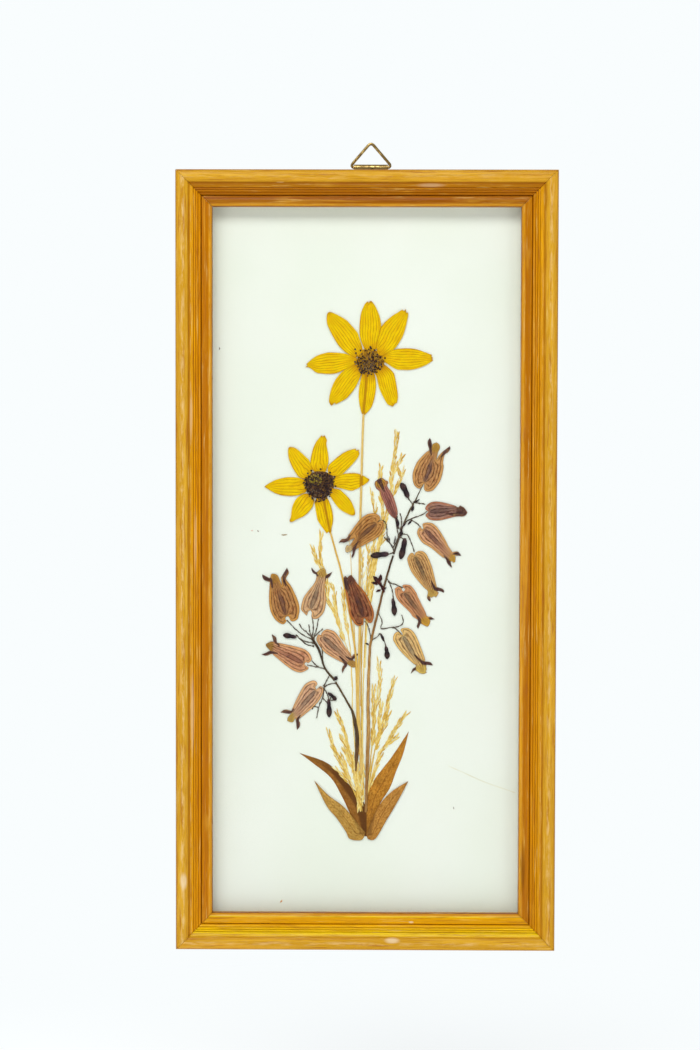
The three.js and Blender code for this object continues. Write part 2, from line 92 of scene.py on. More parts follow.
class Look:
    """A material, with one short method for each kind of node that the looks here are made of."""

    def __init__(self, name, specular=0.1, **settings):
        self.material = bpy.data.materials.new(name)
        self.material.use_nodes = True
        self.tree = self.material.node_tree
        self.shader = self.tree.nodes["Principled BSDF"]
        titled = {key.replace("_", " ").title(): value for key, value in settings.items()}
        self.feed(self.shader, {**titled, "Specular IOR Level": specular})

    def feed(self, node, inputs):
        for key, value in inputs.items():
            if isinstance(value, bpy.types.NodeSocket):
                self.tree.links.new(value, node.inputs[key])
            else:
                node.inputs[key].default_value = value

    def node(self, kind, inputs, **properties):
        made = self.tree.nodes.new("ShaderNode" + kind)
        for key, value in properties.items():
            setattr(made, key, value)
        self.feed(made, inputs)
        return made

    def value(self, name):
        return self.node("Attribute", {}, attribute_name=name).outputs["Fac"]

    def vector(self, name):
        return self.node("Attribute", {}, attribute_name=name).outputs["Vector"]

    def place(self):
        return self.node("TexCoord", {}).outputs["Object"]

    def stretch(self, vector, factors):
        return self.node("VectorMath", {0: vector, 1: factors}, operation="MULTIPLY").outputs[0]

    def math(self, operation, first, second=0.0, clamp=False):
        inputs = {0: first, 1: second}
        return self.node("Math", inputs, operation=operation, use_clamp=clamp).outputs[0]

    def times(self, first, second, clamp=False):
        return self.math("MULTIPLY", first, second, clamp)

    def noise(self, vector, scale, detail=3.0, roughness=0.55, distortion=0.0):
        inputs = {"Vector": vector, "Scale": scale, "Detail": detail, "Roughness": roughness,
                  "Distortion": distortion}
        return self.node("TexNoise", inputs).outputs["Fac"]

    def ease(self, value, low, high, out_low=0.0, out_high=1.0):
        inputs = {"Value": value, "From Min": low, "From Max": high,
                  "To Min": out_low, "To Max": out_high}
        return self.node("MapRange", inputs, interpolation_type="SMOOTHSTEP").outputs[0]

    def mix(self, factor, first, second, blend="MIX"):
        inputs = {"Factor": factor, 6: first, 7: second}
        made = self.node("Mix", {}, data_type="RGBA", blend_type=blend, clamp_factor=True)
        self.feed(made, inputs)
        return made.outputs[2]

    def tinted(self, shade):
        """A shade multiplied by the piece's own tint."""
        return self.mix(1.0, self.vector("tint"), shade, "MULTIPLY")

    def over(self, colour, value, span, shade):
        """A shade laid over a colour by a value. span is from, to, share before and share after."""
        return self.mix(self.ease(value, *span), colour, rgb(*shade))

    def waves(self, value, times, warp, amount):
        """Lines that follow a value, shaken by a warp: nought on a line and one between two."""
        wave = self.math("ADD", self.times(value, times), self.times(warp, amount))
        return self.math("ABSOLUTE", self.math("SINE", wave))

    def near(self, vector, centre, radii):
        """One inside a blob round centre and none outside it. radii are along x, y and z."""
        shifted = self.node("VectorMath", {0: vector, 1: centre}, operation="SUBTRACT").outputs[0]
        scaled = self.node("VectorMath", {0: shifted, 1: radii}, operation="DIVIDE").outputs[0]
        reach = self.node("VectorMath", {0: scaled}, operation="LENGTH").outputs["Value"]
        return self.ease(reach, 0.5, 1.5, 1.0, 0.0)

    def bump(self, height, distance, strength):
        inputs = {"Height": height, "Distance": distance, "Strength": strength}
        self.feed(self.shader, {"Normal": self.node("Bump", inputs).outputs["Normal"]})

    def wear(self, colour, roughness=None):
        self.feed(self.shader, {"Base Color": colour})
        if roughness is not None:
            self.feed(self.shader, {"Roughness": roughness})
        return self.material


# ---- materials ------------------------------------------------------------------------------

# marks on the varnish, each a place on the frame's face, its radii across and up, and how pale
# (above 0) or dark (below 0) it is
MARKS = [
    ((-74.6, -131.5), (1.2, 3.0), 0.7), ((11.1, -155.6), (2.6, 1.0), 0.75),
    ((19, -148.5), (0.9, 0.4), 0.8), ((-11, -144), (0.7, 0.4), 0.7), ((64.8, -126), (0.8, 9), -0.5),
    ((-71.5, 60), (0.5, 9), 0.35), ((-69.8, 8), (0.5, 12), 0.3), ((-71, -62), (0.6, 14), 0.4),
    ((26, 153.5), (5, 0.7), 0.3)]
SCRATCHES = ((-29.0, 156.0), (15.0, 3.0))
SCRATCH_SLANT = math.radians(34)
CROWN = 14  # height of the moulding's crown above its back
MARK_DEPTH = 9


def face_place(at):
    """A place on the frame's face in metres, at the height of the moulding's crown."""
    return (MID_X + at[0] * MM, BACK_Y - CROWN * MM, MID_Z + at[1] * MM)


def mark_radii(size):
    """A mark's radii in metres, deep enough to reach into the moulding's hollows."""
    return (size[0] * MM, MARK_DEPTH * MM, size[1] * MM)


def pine_look():
    """Honey-coloured varnish on pine: grain along the rail, brown in the grooves as stain with
    painted shade, pale where worn and on the crests, where a painted highlight joins the wear.
    """
    look = Look("varnished_pine", specular=0.07, coat_weight=0.07, coat_roughness=0.2)
    grain = look.vector("grain")
    at = look.place()
    rings = look.noise(look.stretch(grain, (0.012, 0.42, 1)), 1.0, 4, 0.6, 0.7)
    fibre = look.noise(look.stretch(grain, (0.07, 4.2, 1)), 1.0, 5, 0.68)
    mottle = look.noise(look.stretch(grain, (0.05, 0.22, 1)), 1.0, 3)
    colour = look.mix(look.ease(rings, 0.34, 0.5, 0.0, 0.8), look.vector("tint"),
                      look.tinted(rgb(232, 224, 190)))
    colour = look.over(colour, rings, (0.56, 0.7, 0.0, 0.5), (232, 170, 52))
    colour = look.over(colour, fibre, (0.5, 0.68, 0, 0.65), (150, 84, 6))
    colour = look.over(colour, mottle, (0.54, 0.74, 0, 0.30), (230, 174, 58))
    # painted shade with stain: brown in the flutes, the grooves and at the sight edge, more or less
    # on each rail as light falls on it
    groove_stain_and_shade = look.times(look.value("groove_stain_and_shade"), look.ease(mottle, 0.2, 0.75, 1.1, 0.75), True)
    colour = look.mix(groove_stain_and_shade, colour, rgb(132, 66, 6))
    aged = look.noise(look.stretch(grain, (0.045, 0.9, 1)), 1.0, 4, 0.65)
    colour = look.over(colour, aged, (0.54, 0.66, 0.0, 0.6), (166, 94, 26))
    colour = look.over(colour, aged, (0.3, 0.42, 0.5, 0.0), (240, 204, 118))
    patchy = look.noise(look.stretch(grain, (0.13, 0.8, 1)), 1.0, 4, 0.7)
    # wear with a painted highlight: pale on the crown and along the lip
    crest_wear_and_highlight = look.times(look.value("crest_wear_and_highlight"), look.ease(patchy, 0.42, 0.66), True)
    colour = look.mix(crest_wear_and_highlight, colour, rgb(238, 204, 142))
    for spot, size, strength in MARKS:
        blob = look.near(at, face_place(spot), mark_radii(size))
        worn = look.times(blob, look.ease(fibre, 0.3, 0.6, 0.4, 1.0))
        worn = look.times(worn, abs(strength))
        colour = look.mix(worn, colour, rgb(243, 222, 186) if strength > 0 else rgb(74, 38, 12))
    spot, size = SCRATCHES
    zone = look.near(at, face_place(spot), mark_radii(size))
    slant = look.node("Mapping", {"Vector": at, "Rotation": (0.0, SCRATCH_SLANT, 0.0),
                                  "Scale": (90.0, 1.0, 2300.0)}).outputs[0]
    nick = look.ease(look.noise(slant, 1.0, 2, 0.5), 0.66, 0.72)
    colour = look.mix(look.times(nick, zone), colour, rgb(246, 216, 160))
    raw = look.over(rgb(206, 170, 118), fibre, (0.4, 0.7, 0, 0.5), (168, 124, 74))
    colour = look.mix(look.value("raw"), colour, raw)
    dull = look.times(look.value("raw"), 0.4)
    rough = look.math("ADD", look.ease(fibre, 0.3, 0.8, 0.24, 0.4), dull)
    look.bump(fibre, 0.00012, 0.6)
    return look.wear(colour, rough)


def paper_look():
    look = Look("pale_paper")
    at = look.place()
    fibre = look.noise(at, 900.0, 4, 0.7)
    cloud = look.noise(at, 14.0, 2)
    colour = look.over(rgb(243, 247, 237), cloud, (0.3, 0.7), (239, 244, 231))
    colour = look.over(colour, fibre, (0.35, 0.7, 0, 0.2), (228, 236, 218))
    look.bump(fibre, 0.00003, 0.5)
    return look.wear(colour, look.ease(fibre, 0.2, 0.8, 0.75, 0.95))


def board_look():
    look = Look("brown_board")
    at = look.place()
    fleck = look.noise(look.stretch(at, (1, 1, 2.4)), 420.0, 5, 0.75)
    cloud = look.noise(at, 22.0, 3)
    colour = look.over(rgb(112, 78, 48), fleck, (0.38, 0.66), (158, 120, 80))
    colour = look.over(colour, cloud, (0.35, 0.7, 0, 0.4), (96, 66, 42))
    look.bump(fleck, 0.00008, 0.7)
    return look.wear(colour, look.ease(fleck, 0.2, 0.8, 0.7, 0.95))


def metal_look(name, bright, dull, scale):
    look = Look(name, specular=0.5, metallic=1.0)
    at = look.place()
    patina = look.noise(at, scale, 4, 0.7)
    fine = look.noise(at, scale * 9, 3)
    colour = look.over(rgb(*bright), patina, (0.38, 0.62), dull)
    look.bump(fine, 0.00002, 0.5)
    return look.wear(colour, look.ease(patina, 0.3, 0.7, 0.22, 0.5))


def glass_look():
    look = Look("clear_pane", specular=0.3, transmission_weight=1.0, roughness=0.0)
    look.feed(look.shader, {"IOR": 1.45})
    at = look.place()
    return look.wear(look.mix(look.noise(at, 30.0, 2), rgb(255, 255, 255), rgb(252, 255, 253)))


def petal_look():
    """A dry yellow petal: veins run from base to tip; it is darker where what lies beneath shows
    through, towards its base and at its tip.
    """
    look = Look("yellow_petal", specular=0.04)
    at = look.vector("blade")
    warp = look.noise(look.stretch(at, (0.5, 0.18, 1)), 1.0, 3)
    lines = look.waves(look.value("vein"), math.pi, warp, 1.4)
    streak = look.noise(look.stretch(at, (3.0, 0.22, 1)), 1.0, 4, 0.6)
    cloud = look.noise(look.stretch(at, (0.3, 0.16, 1)), 1.0, 3)
    colour = look.over(rgb(240, 203, 0), cloud, (0.36, 0.66), (232, 182, 0))
    colour = look.tinted(look.over(colour, cloud, (0.56, 0.74, 0.0, 0.4), (244, 214, 20)))
    vein = look.times(look.ease(lines, 0.1, 0.7, 0.8, 0.0), look.ease(streak, 0.32, 0.62, 0.3, 1.0))
    colour = look.mix(vein, colour, rgb(172, 112, 0))
    colour = look.over(colour, streak, (0.52, 0.76, 0.0, 0.4), (200, 142, 2))
    colour = look.over(colour, look.value("edge"), (0.0, 0.3, 0.45, 0.0), (196, 132, 2))
    colour = look.mix(look.value("under"), colour, rgb(168, 104, 8))
    look.bump(look.math("ADD", lines, streak), 0.00006, 0.7)
    return look.wear(colour, look.ease(streak, 0.2, 0.8, 0.45, 0.7))


def leaf_look():
    """A dry leaf blade, with side veins that branch from the middle one."""
    look = Look("dry_leaf")
    at = look.vector("blade")
    vein = look.value("vein")
    parts = look.node("SeparateXYZ", {"Vector": at})
    warp = look.noise(look.stretch(at, (0.4, 0.2, 1)), 1.0, 3)
    slant = look.math("SUBTRACT", parts.outputs["Y"], look.times(look.math("ABSOLUTE", vein), 2.6))
    ribs = look.waves(slant, 1.25, warp, 3.0)
    streak = look.noise(look.stretch(at, (1.6, 0.3, 1)), 1.0, 4, 0.65)
    colour = look.mix(look.ease(streak, 0.35, 0.7, 0.0, 0.8), look.vector("tint"),
                      look.tinted(rgb(214, 190, 160)))
    fleck = look.noise(look.stretch(at, (1.5, 1.0, 1)), 1.0, 4, 0.7)
    colour = look.over(colour, fleck, (0.5, 0.62, 0.0, 0.7), (134, 80, 14))
    colour = look.over(colour, fleck, (0.3, 0.42, 0.45, 0.0), (226, 176, 92))
    colour = look.over(colour, ribs, (0.0, 0.4, 0.25, 0.0), (104, 56, 12))
    colour = look.over(colour, look.math("ABSOLUTE", vein), (0.0, 0.10, 0.6, 0.0), (108, 60, 16))
    colour = look.over(colour, look.value("edge"), (0.0, 0.35, 0.5, 0.0), (140, 82, 20))
    colour = look.mix(look.value("under"), colour, rgb(88, 50, 16))
    look.bump(look.math("ADD", ribs, streak), 0.00006, 0.7)
    return look.wear(colour, look.ease(streak, 0.2, 0.8, 0.5, 0.75))


def heart_look():
    """The flattened pouch of a heart-shaped flower: dark veins run from its notch to its mouth."""
    look = Look("heart_flower")
    at = look.vector("blade")
    edge = look.value("edge")
    warp = look.noise(look.stretch(at, (0.45, 0.3, 1)), 1.0, 3)
    fine = look.noise(look.stretch(at, (2.8, 0.6, 1)), 1.0, 4, 0.65)
    cloud = look.noise(look.stretch(at, (0.6, 0.3, 1)), 1.0, 3, 0.6)
    speck = look.noise(look.stretch(at, (1.9, 1.1, 1)), 1.0, 3, 0.7)
    lines = look.waves(look.value("vein"), math.pi, warp, 2.4)
    inner = look.ease(edge, 0.7, 1.9, 0.25, 1.0)
    dusky = look.tinted(rgb(212, 184, 176))
    colour = look.mix(look.times(look.ease(fine, 0.4, 0.62), inner), look.vector("tint"), dusky)
    colour = look.over(colour, cloud, (0.52, 0.7, 0.0, 0.35), (226, 172, 104))
    uneven = look.ease(cloud, 0.3, 0.62, 1.0, 0.55)
    vein = look.times(look.ease(lines, 0.14, 0.8, 1.0, 0.0), uneven)
    vein = look.times(vein, look.ease(edge, 0.3, 0.7, 0.0, 1.0))
    colour = look.mix(vein, colour, look.tinted(rgb(96, 66, 60)))
    core = look.times(look.value("core"), look.ease(fine, 0.38, 0.58, 1.0, 0.3), True)
    colour = look.mix(core, colour, rgb(60, 44, 48))
    spots = look.times(look.ease(speck, 0.6, 0.68, 0.0, 0.55), inner)
    colour = look.mix(spots, colour, rgb(74, 48, 40))
    colour = look.over(colour, edge, (0.0, 0.24, 0.85, 0.0), (96, 56, 28))
    colour = look.mix(look.value("under"), colour, rgb(92, 58, 30))
    look.bump(look.math("ADD", lines, fine), 0.00008, 0.7)
    return look.wear(colour, look.ease(fine, 0.2, 0.8, 0.45, 0.7))


def fibre_look(name, dark):
    """Stems, twigs, straw and florets: streaks along the piece over its own tint."""
    look = Look(name)
    at = look.vector("blade")
    streak = look.noise(look.stretch(at, (3.0, 0.25, 1)), 1.0, 4, 0.65)
    blotch = look.noise(look.stretch(at, (0.8, 0.35, 1)), 1.0, 3)
    colour = look.tinted(look.over(rgb(255, 255, 255), streak, (0.35, 0.7), dark))
    colour = look.mix(look.ease(blotch, 0.5, 0.75, 0.0, 0.4), colour, look.tinted(rgb(*dark)))
    look.bump(streak, 0.00005, 0.7)
    return look.wear(colour, look.ease(streak, 0.2, 0.8, 0.45, 0.75))


PINE = pine_look()
PAPER = paper_look()
BOARD = board_look()
BRASS = metal_look("aged_brass", (192, 166, 104), (142, 118, 70), 380.0)
STEEL = metal_look("dull_steel", (170, 166, 158), (110, 102, 92), 500.0)
GLASS = glass_look()
YELLOW = petal_look()
LEAF = leaf_look()
HEART = heart_look()
TWIG = fibre_look("dark_twig", (180, 156, 128))
STRAW = fibre_look("straw", (230, 208, 156))
BUD = fibre_look("dark_bud", (120, 104, 108))
FLORET = fibre_look("disc_floret", (150, 128, 104))


# ---- shapes ---------------------------------------------------------------------------------

ROW_PITCH = 0.866  # between rows of a grid of triangles, in spacings
THINNEST = 0.03
SHARP_EDGE = math.radians(50)
KEEN = 0.3  # step between the points of an outline


def points(text):
    """A line of points written as x,z pairs."""
    return [tuple(float(number) for number in pair.split(",")) for pair in text.split()]


def runs(text):
    """Runs of points, with a slash between two runs."""
    return [points(part) for part in text.split("/")]


def curve(points, step):
    """A smooth line through the points, as points about step apart."""
    given = np.array(points, float)
    padded = np.vstack([2 * given[0] - given[1], given, 2 * given[-1] - given[-2]])
    found = []
    for a, b, c, d in zip(padded, padded[1:], padded[2:], padded[3:]):
        count = max(2, int(np.linalg.norm(c - b) / step) + 1)
        for t in np.arange(count) / count:
            found.append(0.5 * (2 * b + (c - a) * t + (2 * a - 5 * b + 4 * c - d) * t**2
                                + (3 * b - a - 3 * c + d) * t**3))
    return np.array(found + [given[-1]])


def closed_outline(text):
    """A closed line, anticlockwise, from runs of points: smooth along each, sharp between two."""
    parts = runs(text)
    ends = [part[0] for part in parts[1:]] + [parts[0][0]]
    line = np.vstack([curve([*part, end], KEEN)[:-1] for part, end in zip(parts, ends)])
    x, z = line.T
    area = (x * np.roll(z, -1) - z * np.roll(x, -1)).sum()
    return line if area > 0 else line[::-1]


def turned(points, at, degrees):
    """Points drawn along +z from the origin, turned clockwise from up and moved to a place."""
    angle = math.radians(degrees)
    across, along = np.asarray(points, float)[:, :2].T
    x = at[0] + across * math.cos(angle) + along * math.sin(angle)
    z = at[1] - across * math.sin(angle) + along * math.cos(angle)
    return np.stack([x, z], 1)


def line_distance(points, line, closed=False):
    """How far each point is from a line of points, in the sheet."""
    start = np.asarray(line, float)[:, :2]
    end = np.roll(start, -1, 0) if closed else start[1:]
    start = start if closed else start[:-1]
    run = end - start
    reach = points[:, None, :] - start[None]
    t = np.clip((reach * run).sum(2) / np.maximum((run**2).sum(1), 1e-9), 0, 1)
    return np.linalg.norm(reach - t[..., None] * run[None], axis=2).min(1)


def inside(points, outline):
    x, z = points[:, 0, None], points[:, 1, None]
    x1, z1 = outline.T
    x2, z2 = np.roll(outline, -1, 0).T
    rise = np.where(z2 == z1, 1e-9, z2 - z1)
    crossing = ((z1 > z) != (z2 > z)) & (x < (x2 - x1) * (z - z1) / rise + x1)
    return crossing.sum(1) % 2 == 1


def smooth_step(value, low, high):
    t = np.clip((value - low) / (high - low), 0, 1)
    return t * t * (3 - 2 * t)


def blend(first, second, share):
    """Colours between two, by a share for each point."""
    return first + (second - first) * np.clip(share, 0, 1)[:, None]


def ripple(points, size, seed):
    """Smooth noise of about one, at each point in the sheet."""
    return np.array([noise.noise(Vector((p[0] / size, p[1] / size, seed))) for p in points]) * 1.6


def shaken(line, amount, size, seed, other):
    """A line moved a little to and fro, as nothing grown is quite straight."""
    return line + amount * np.column_stack([ripple(line, size, seed), ripple(line, size, other)])


def bell(value, middle, half):
    """One at the middle, and falling away smoothly on both sides."""
    return np.exp(-((value - middle) / half) ** 2)


def axes(origin, out):
    """A function that turns sheet points into places across and along an axis."""
    side = np.array([out[1], -out[0]])
    return lambda flat: np.column_stack([(flat - origin) @ side, (flat - origin) @ out])


def skin(rows, sides):
    """Faces of a closed tube whose points are rows of rings."""
    faces = []
    for i in range(rows - 1):
        for j in range(sides):
            k = (j + 1) % sides
            faces.append((i * sides + j, i * sides + k, (i + 1) * sides + k, (i + 1) * sides + j))
    faces.append(tuple(range(sides))[::-1])
    faces.append(tuple(range((rows - 1) * sides, rows * sides)))
    return faces


def spread(value, stops, shades):
    """Colours between stops, by a value for each point."""
    return np.column_stack([np.interp(value, stops, shades[:, c]) for c in range(3)])


class Batch:
    """Shapes in sheet millimetres that end up joined in one piece."""

    def __init__(self):
        self.points, self.faces, self.kinds, self.values = [], [], [], []
        self.count = 0

    def add(self, shape, kind=0, **values):
        points, faces, own = shape
        self.points.append(points)
        self.faces += [tuple(i + self.count for i in face) for face in faces]
        self.kinds += [kind] * len(faces)
        self.values.append({**own, **values, "size": len(points)})
        self.count += len(points)

    def take(self, other):
        self.faces += [tuple(i + self.count for i in face) for face in other.faces]
        self.kinds += other.kinds
        self.points += other.points
        self.values += other.values
        self.count += other.count

    def build(self, name, looks, slot, replaces=(), metres=None):
        mesh = bpy.data.meshes.new(name)
        place = metres or on_sheet
        mesh.from_pydata(place(np.vstack(self.points)).tolist(), [], self.faces)
        mesh.polygons.foreach_set("material_index", self.kinds)
        mesh.shade_smooth()
        mesh.set_sharp_from_angle(angle=SHARP_EDGE)
        for key in ("edge", "vein", "core", "under", "groove_stain_and_shade", "crest_wear_and_highlight", "raw"):
            if any(key in v for v in self.values):
                found = [np.broadcast_to(v.get(key, 0.0), v["size"]) for v in self.values]
                made = mesh.attributes.new(key, "FLOAT", "POINT")
                made.data.foreach_set("value", np.concatenate(found))
        for key, usual in (("blade", (0, 0, 0)), ("tint", (1, 1, 1)), ("grain", (0, 0, 0))):
            if any(key in v for v in self.values):
                found = [np.broadcast_to(np.array(v.get(key, usual), float), (v["size"], 3))
                         for v in self.values]
                made = mesh.attributes.new(key, "FLOAT_VECTOR", "POINT")
                made.data.foreach_set("vector", np.concatenate(found).ravel())
        piece = bpy.data.objects.new(name, mesh)
        bpy.context.collection.objects.link(piece)
        for look in looks:
            mesh.materials.append(look)
        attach(piece, "frame")
        if replaces:
            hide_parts(*replaces)
        return piece


def on_sheet(points):
    """Sheet millimetres to metres in the part's frame."""
    x, z, d = points.T
    return np.stack([MID_X + x * MM, PAPER_Y - d * MM, MID_Z + z * MM], 1)


def to_metres(points):
    return points * MM


def blade(outline, spacing, lift, relief, blade_at=None):
    """A closed thin sheet that fills an outline. relief gives its thickness from the points and
    their distance to the outline."""
    low, high = outline.min(0), outline.max(0)
    rows = np.arange(low[1], high[1], spacing * ROW_PITCH)
    columns = np.arange(low[0], high[0], spacing)
    grid = np.array([(x + (i % 2) * spacing / 2, z) for i, z in enumerate(rows) for x in columns])
    grid = grid[inside(grid, outline)]
    grid = grid[line_distance(grid, outline, True) > spacing * 0.45]
    given = [Vector(p) for p in np.vstack([outline, grid]).tolist()]
    rim = list(range(len(outline)))
    verts, _, faces, *_ = delaunay_2d_cdt(given, [], [rim], 1, 1e-4)
    flat = np.array([tuple(v) for v in verts])
    faces = [f if cross_of(flat, f) > 0 else f[::-1] for f in faces]
    edge = line_distance(flat, outline, True)
    thick = np.maximum(relief(flat, edge), THINNEST)
    front = np.column_stack([flat, lift + thick])
    back = np.column_stack([flat, np.full(len(flat), lift)])
    n = len(flat)
    sides = {(a, b) for f in faces for a, b in zip(f, (*f[1:], f[0]))}
    walls = [(b, a, a + n, b + n) for a, b in sorted(sides) if (b, a) not in sides]
    backs = [tuple(i + n for i in f[::-1]) for f in faces]
    at = flat if blade_at is None else blade_at(flat)
    whole = np.column_stack([np.tile(at, (2, 1)), np.zeros(2 * n)])
    solid = [tuple(f) for f in faces] + backs + walls
    return np.vstack([front, back]), solid, {"edge": np.tile(edge, 2), "blade": whole}


def cross_of(flat, face):
    a, b, c = flat[face[0]], flat[face[1]], flat[face[2]]
    return (b[0] - a[0]) * (c[1] - a[1]) - (b[1] - a[1]) * (c[0] - a[0])


def tube(path, radii, flatness, sides, lift=None, seed=0.0):
    """A closed flattened tube along a path of (x, z) or (x, z, d) points. lift sets d, and radii
    are given evenly along the path."""
    path = np.asarray(path, float)
    if path.shape[1] == 2:
        path = np.column_stack([path, np.full(len(path), lift)])
    run = np.gradient(path, axis=0)
    run /= np.linalg.norm(run, axis=1)[:, None]
    side = np.column_stack([run[:, 1], -run[:, 0], np.zeros(len(path))])
    side /= np.maximum(np.linalg.norm(side, axis=1)[:, None], 1e-6)
    up = np.cross(side, run)
    radius = np.interp(np.linspace(0, 1, len(path)), np.linspace(0, 1, len(radii)), radii)
    angles = np.linspace(0, 2 * np.pi, sides, endpoint=False)
    ring = (side[:, None] * np.cos(angles)[None, :, None]
            + up[:, None] * (np.sin(angles) * flatness)[None, :, None])
    placed = (path[:, None] + ring * radius[:, None, None]).reshape(-1, 3)
    around = np.tile(np.cos(angles), len(path)) * np.repeat(radius, sides)
    along = np.repeat(travelled(path), sides)
    grain = np.column_stack([around + seed * 7.3, along, np.full(len(placed), seed)])
    return placed, skin(len(path), sides), {"blade": grain}


def travelled(path):
    """How far along a path each of its points is."""
    return np.concatenate([[0], np.cumsum(np.linalg.norm(np.diff(path, axis=0), axis=1))])


def along_tones(tones, rings, sides):
    """The colour of each point of a tube whose colours are given evenly along it."""
    t = np.repeat(np.linspace(0, 1, rings), sides)
    return spread(t, np.linspace(0, 1, len(tones)), np.array([tone(colour) for colour in tones]))


def shadowed(flat, shapes, soft=0.35):
    """How strongly shapes beneath show through at each point: outlines, or (line, half width)."""
    found = np.zeros(len(flat))
    for shape in shapes:
        if isinstance(shape, tuple):
            line, half = shape
            away = line_distance(flat, line)
            found = np.maximum(found, 1 - smooth_step(away, half * 0.6, half * 1.3))
        else:
            depth = line_distance(flat, shape, True) * np.where(inside(flat, shape), 1, -1)
            found = np.maximum(found, smooth_step(depth, -soft * 0.3, soft))
    return found


# ---- places on the sheet --------------------------------------------------------------------

UPPER_CENTRE = (1.3, 82.3)
LOWER_CENTRE = (-19.3, 31.5)

UPPER_STEM = curve(points("-0.1,76.5 -0.3,72 -1.3,58 -2,33 -2.6,3 -2.5,-26 -3.1,-57 -2.2,-74 "
                          "-1.6,-88"), 1.0)
LOWER_STEM = curve(points("-17.6,25.5 -16.4,19.6 -14.9,12.7 -12.8,5 -10.1,-5 -6.3,-24 -4,-41 "
                          "-3.5,-57 -3.1,-80"), 1.0)

# each petal's outline is runs of points, with a sharp corner where two runs meet
UPPER_PETALS = [
    "-0.2,85.8 -2.8,92.6 -2.6,100.5 -1.2,104.9 / 0.2,106.8 / 0.9,106.3 / 1.5,107 2.1,106.8 "
    "3.5,104.9 5.4,100.5 6,96.1 5.6,93.6 4.1,87.9 / 3.1,85.4",
    "4.6,85 4.1,87.5 4.2,89.7 5.2,94.6 6.2,96.8 9.7,100.3 / 14.7,103.5 / 15.3,102.9 / 16.1,103.7 / "
    "16.2,102.2 / 17,102.3 16.9,100.2 15.2,93.5 12.9,89.2 11.1,87.1 8.9,85.6 6.4,84.4",
    "26.8,85 / 26.7,84.3 / 27.3,83.7 / 26.9,83.3 / 27.4,82.7 23.8,80.5 18.8,78.9 13.7,78.8 "
    "11.5,79.4 7.8,81.7 / 5.6,82.5 6.4,84.4 11.1,87 15.6,87.6 20.6,87.2",
    "12.6,65.3 11.6,64.7 / 10.9,63.7 9.1,64.4 7.9,65.8 5.3,71.1 4.2,75.6 3.4,77.6 4,79.7 5.6,81.1 "
    "7.5,80.9 10.7,78.1 11.7,75.9 12.9,68.6",
    "-1.4,78.4 -2.1,76.2 -3.1,70.8 -3.1,66.1 -2.1,61.3 / -1.1,60.2 -0.2,60.7 2.4,64.2 3.9,70.8 "
    "3.6,75.7 / 2.7,78.4",
    "-12.6,64.6 / -13.1,65.3 / -14.3,64 -15,64.8 -15.4,66.4 -14.5,70.8 -12.4,75.2 -9.2,78.6 / "
    "-5.1,81.1 -3,80.1 -2,77.8 -2.7,75.5 -4.6,71.4 -7.4,67.8 -9,66.5",
    "-3.9,83.5 -5.5,84.4 -9.4,85.5 -14.5,85.9 -16.7,85.7 -20.9,84.2 / -24.8,81.1 / -24.3,80.5 / "
    "-25.3,79.7 -23.6,79.7 -20.8,77.7 -18.6,77.2 -13.5,77.1 -9.4,78.6 / -3.6,81.7",
    "-4.7,83.7 -2,85.4 -1.7,87.4 -3,91.9 -3.9,94.2 -7,97.8 -8.9,99.5 -12.9,101.7 -15.5,102.4 "
    "-16.4,100.5 -15.9,96.6 -12.2,89.7 -9.1,86.3",
]
LOWER_PETALS = [
    "-21.6,36.9 -23,40.2 -22.4,44.6 -20.9,48.7 / -18.4,51.9 / -18,51.3 / -17.2,51.9 -16.2,49.8 "
    "-16.4,48.3 -15.5,42.4 -16,38.9 / -16.9,36.5",
    "-15.7,36.1 -15.8,38.7 -14.6,40.5 -9.4,44.7 -5.5,46.2 / -4.3,46.4 / -4.2,45.7 / -2.9,46 "
    "-3.1,45.1 -2.8,44.5 -3.3,43.1 -5.5,40.2 -9.7,36.1 -12.4,34.8",
    "1.4,33.8 0.8,32.8 -0.6,31.7 -4.4,29.6 -6.6,29.1 -10.4,30.1 -12.4,30.4 / -14,31.1 -14,33.2 "
    "-12.1,35.2 -7.4,36.3 -2.8,36",
    "-15.5,28.6 / -14,30.1 -11.1,29.6 -9.6,28.5 -6.6,25.4 -4.9,21.8 -4.5,19.9 / -4.8,19 -5.8,18.9 "
    "-7.4,19.5 -11.2,21.8 -14.7,26.6",
    "-16.3,26.6 -15.4,25.1 -14.1,21.5 -13.6,17.4 -14.2,13.5 -14.4,11.7 / -14.8,11.2 / -15.5,12.2 / "
    "-16.2,11.4 -19.5,16 -20.3,18.2 -21,22.3 -21.2,24.5 / -20.2,26.4",
    "-21.2,25.3 -22.5,21.7 -25.5,18.7 -28.8,17.1 -30.4,16.2 / -31.5,16.2 -31.5,17.1 -31,18.4 "
    "-30.4,22.5 -28.6,25.9 -25.5,27.8 -23.1,27.4",
    "-24.5,32.9 -25.8,33.7 -28.9,34.5 -33,34.5 -37.4,33.4 -40.9,31.5 / -42,30.6 -37.1,27.8 "
    "-33,26.9 -28.8,27 -25.5,28.2 / -24.1,29.4",
    "-23.9,34.2 -22.1,37.7 -23.4,41.3 -24.5,42.6 -28.6,46.2 -31.2,47.1 -32.2,45.9 -31.9,42.3 "
    "-30.6,39 -28.6,35.7 -27.4,34.5 -25.8,34",
]


# ---- yellow flowers -------------------------------------------------------------------------

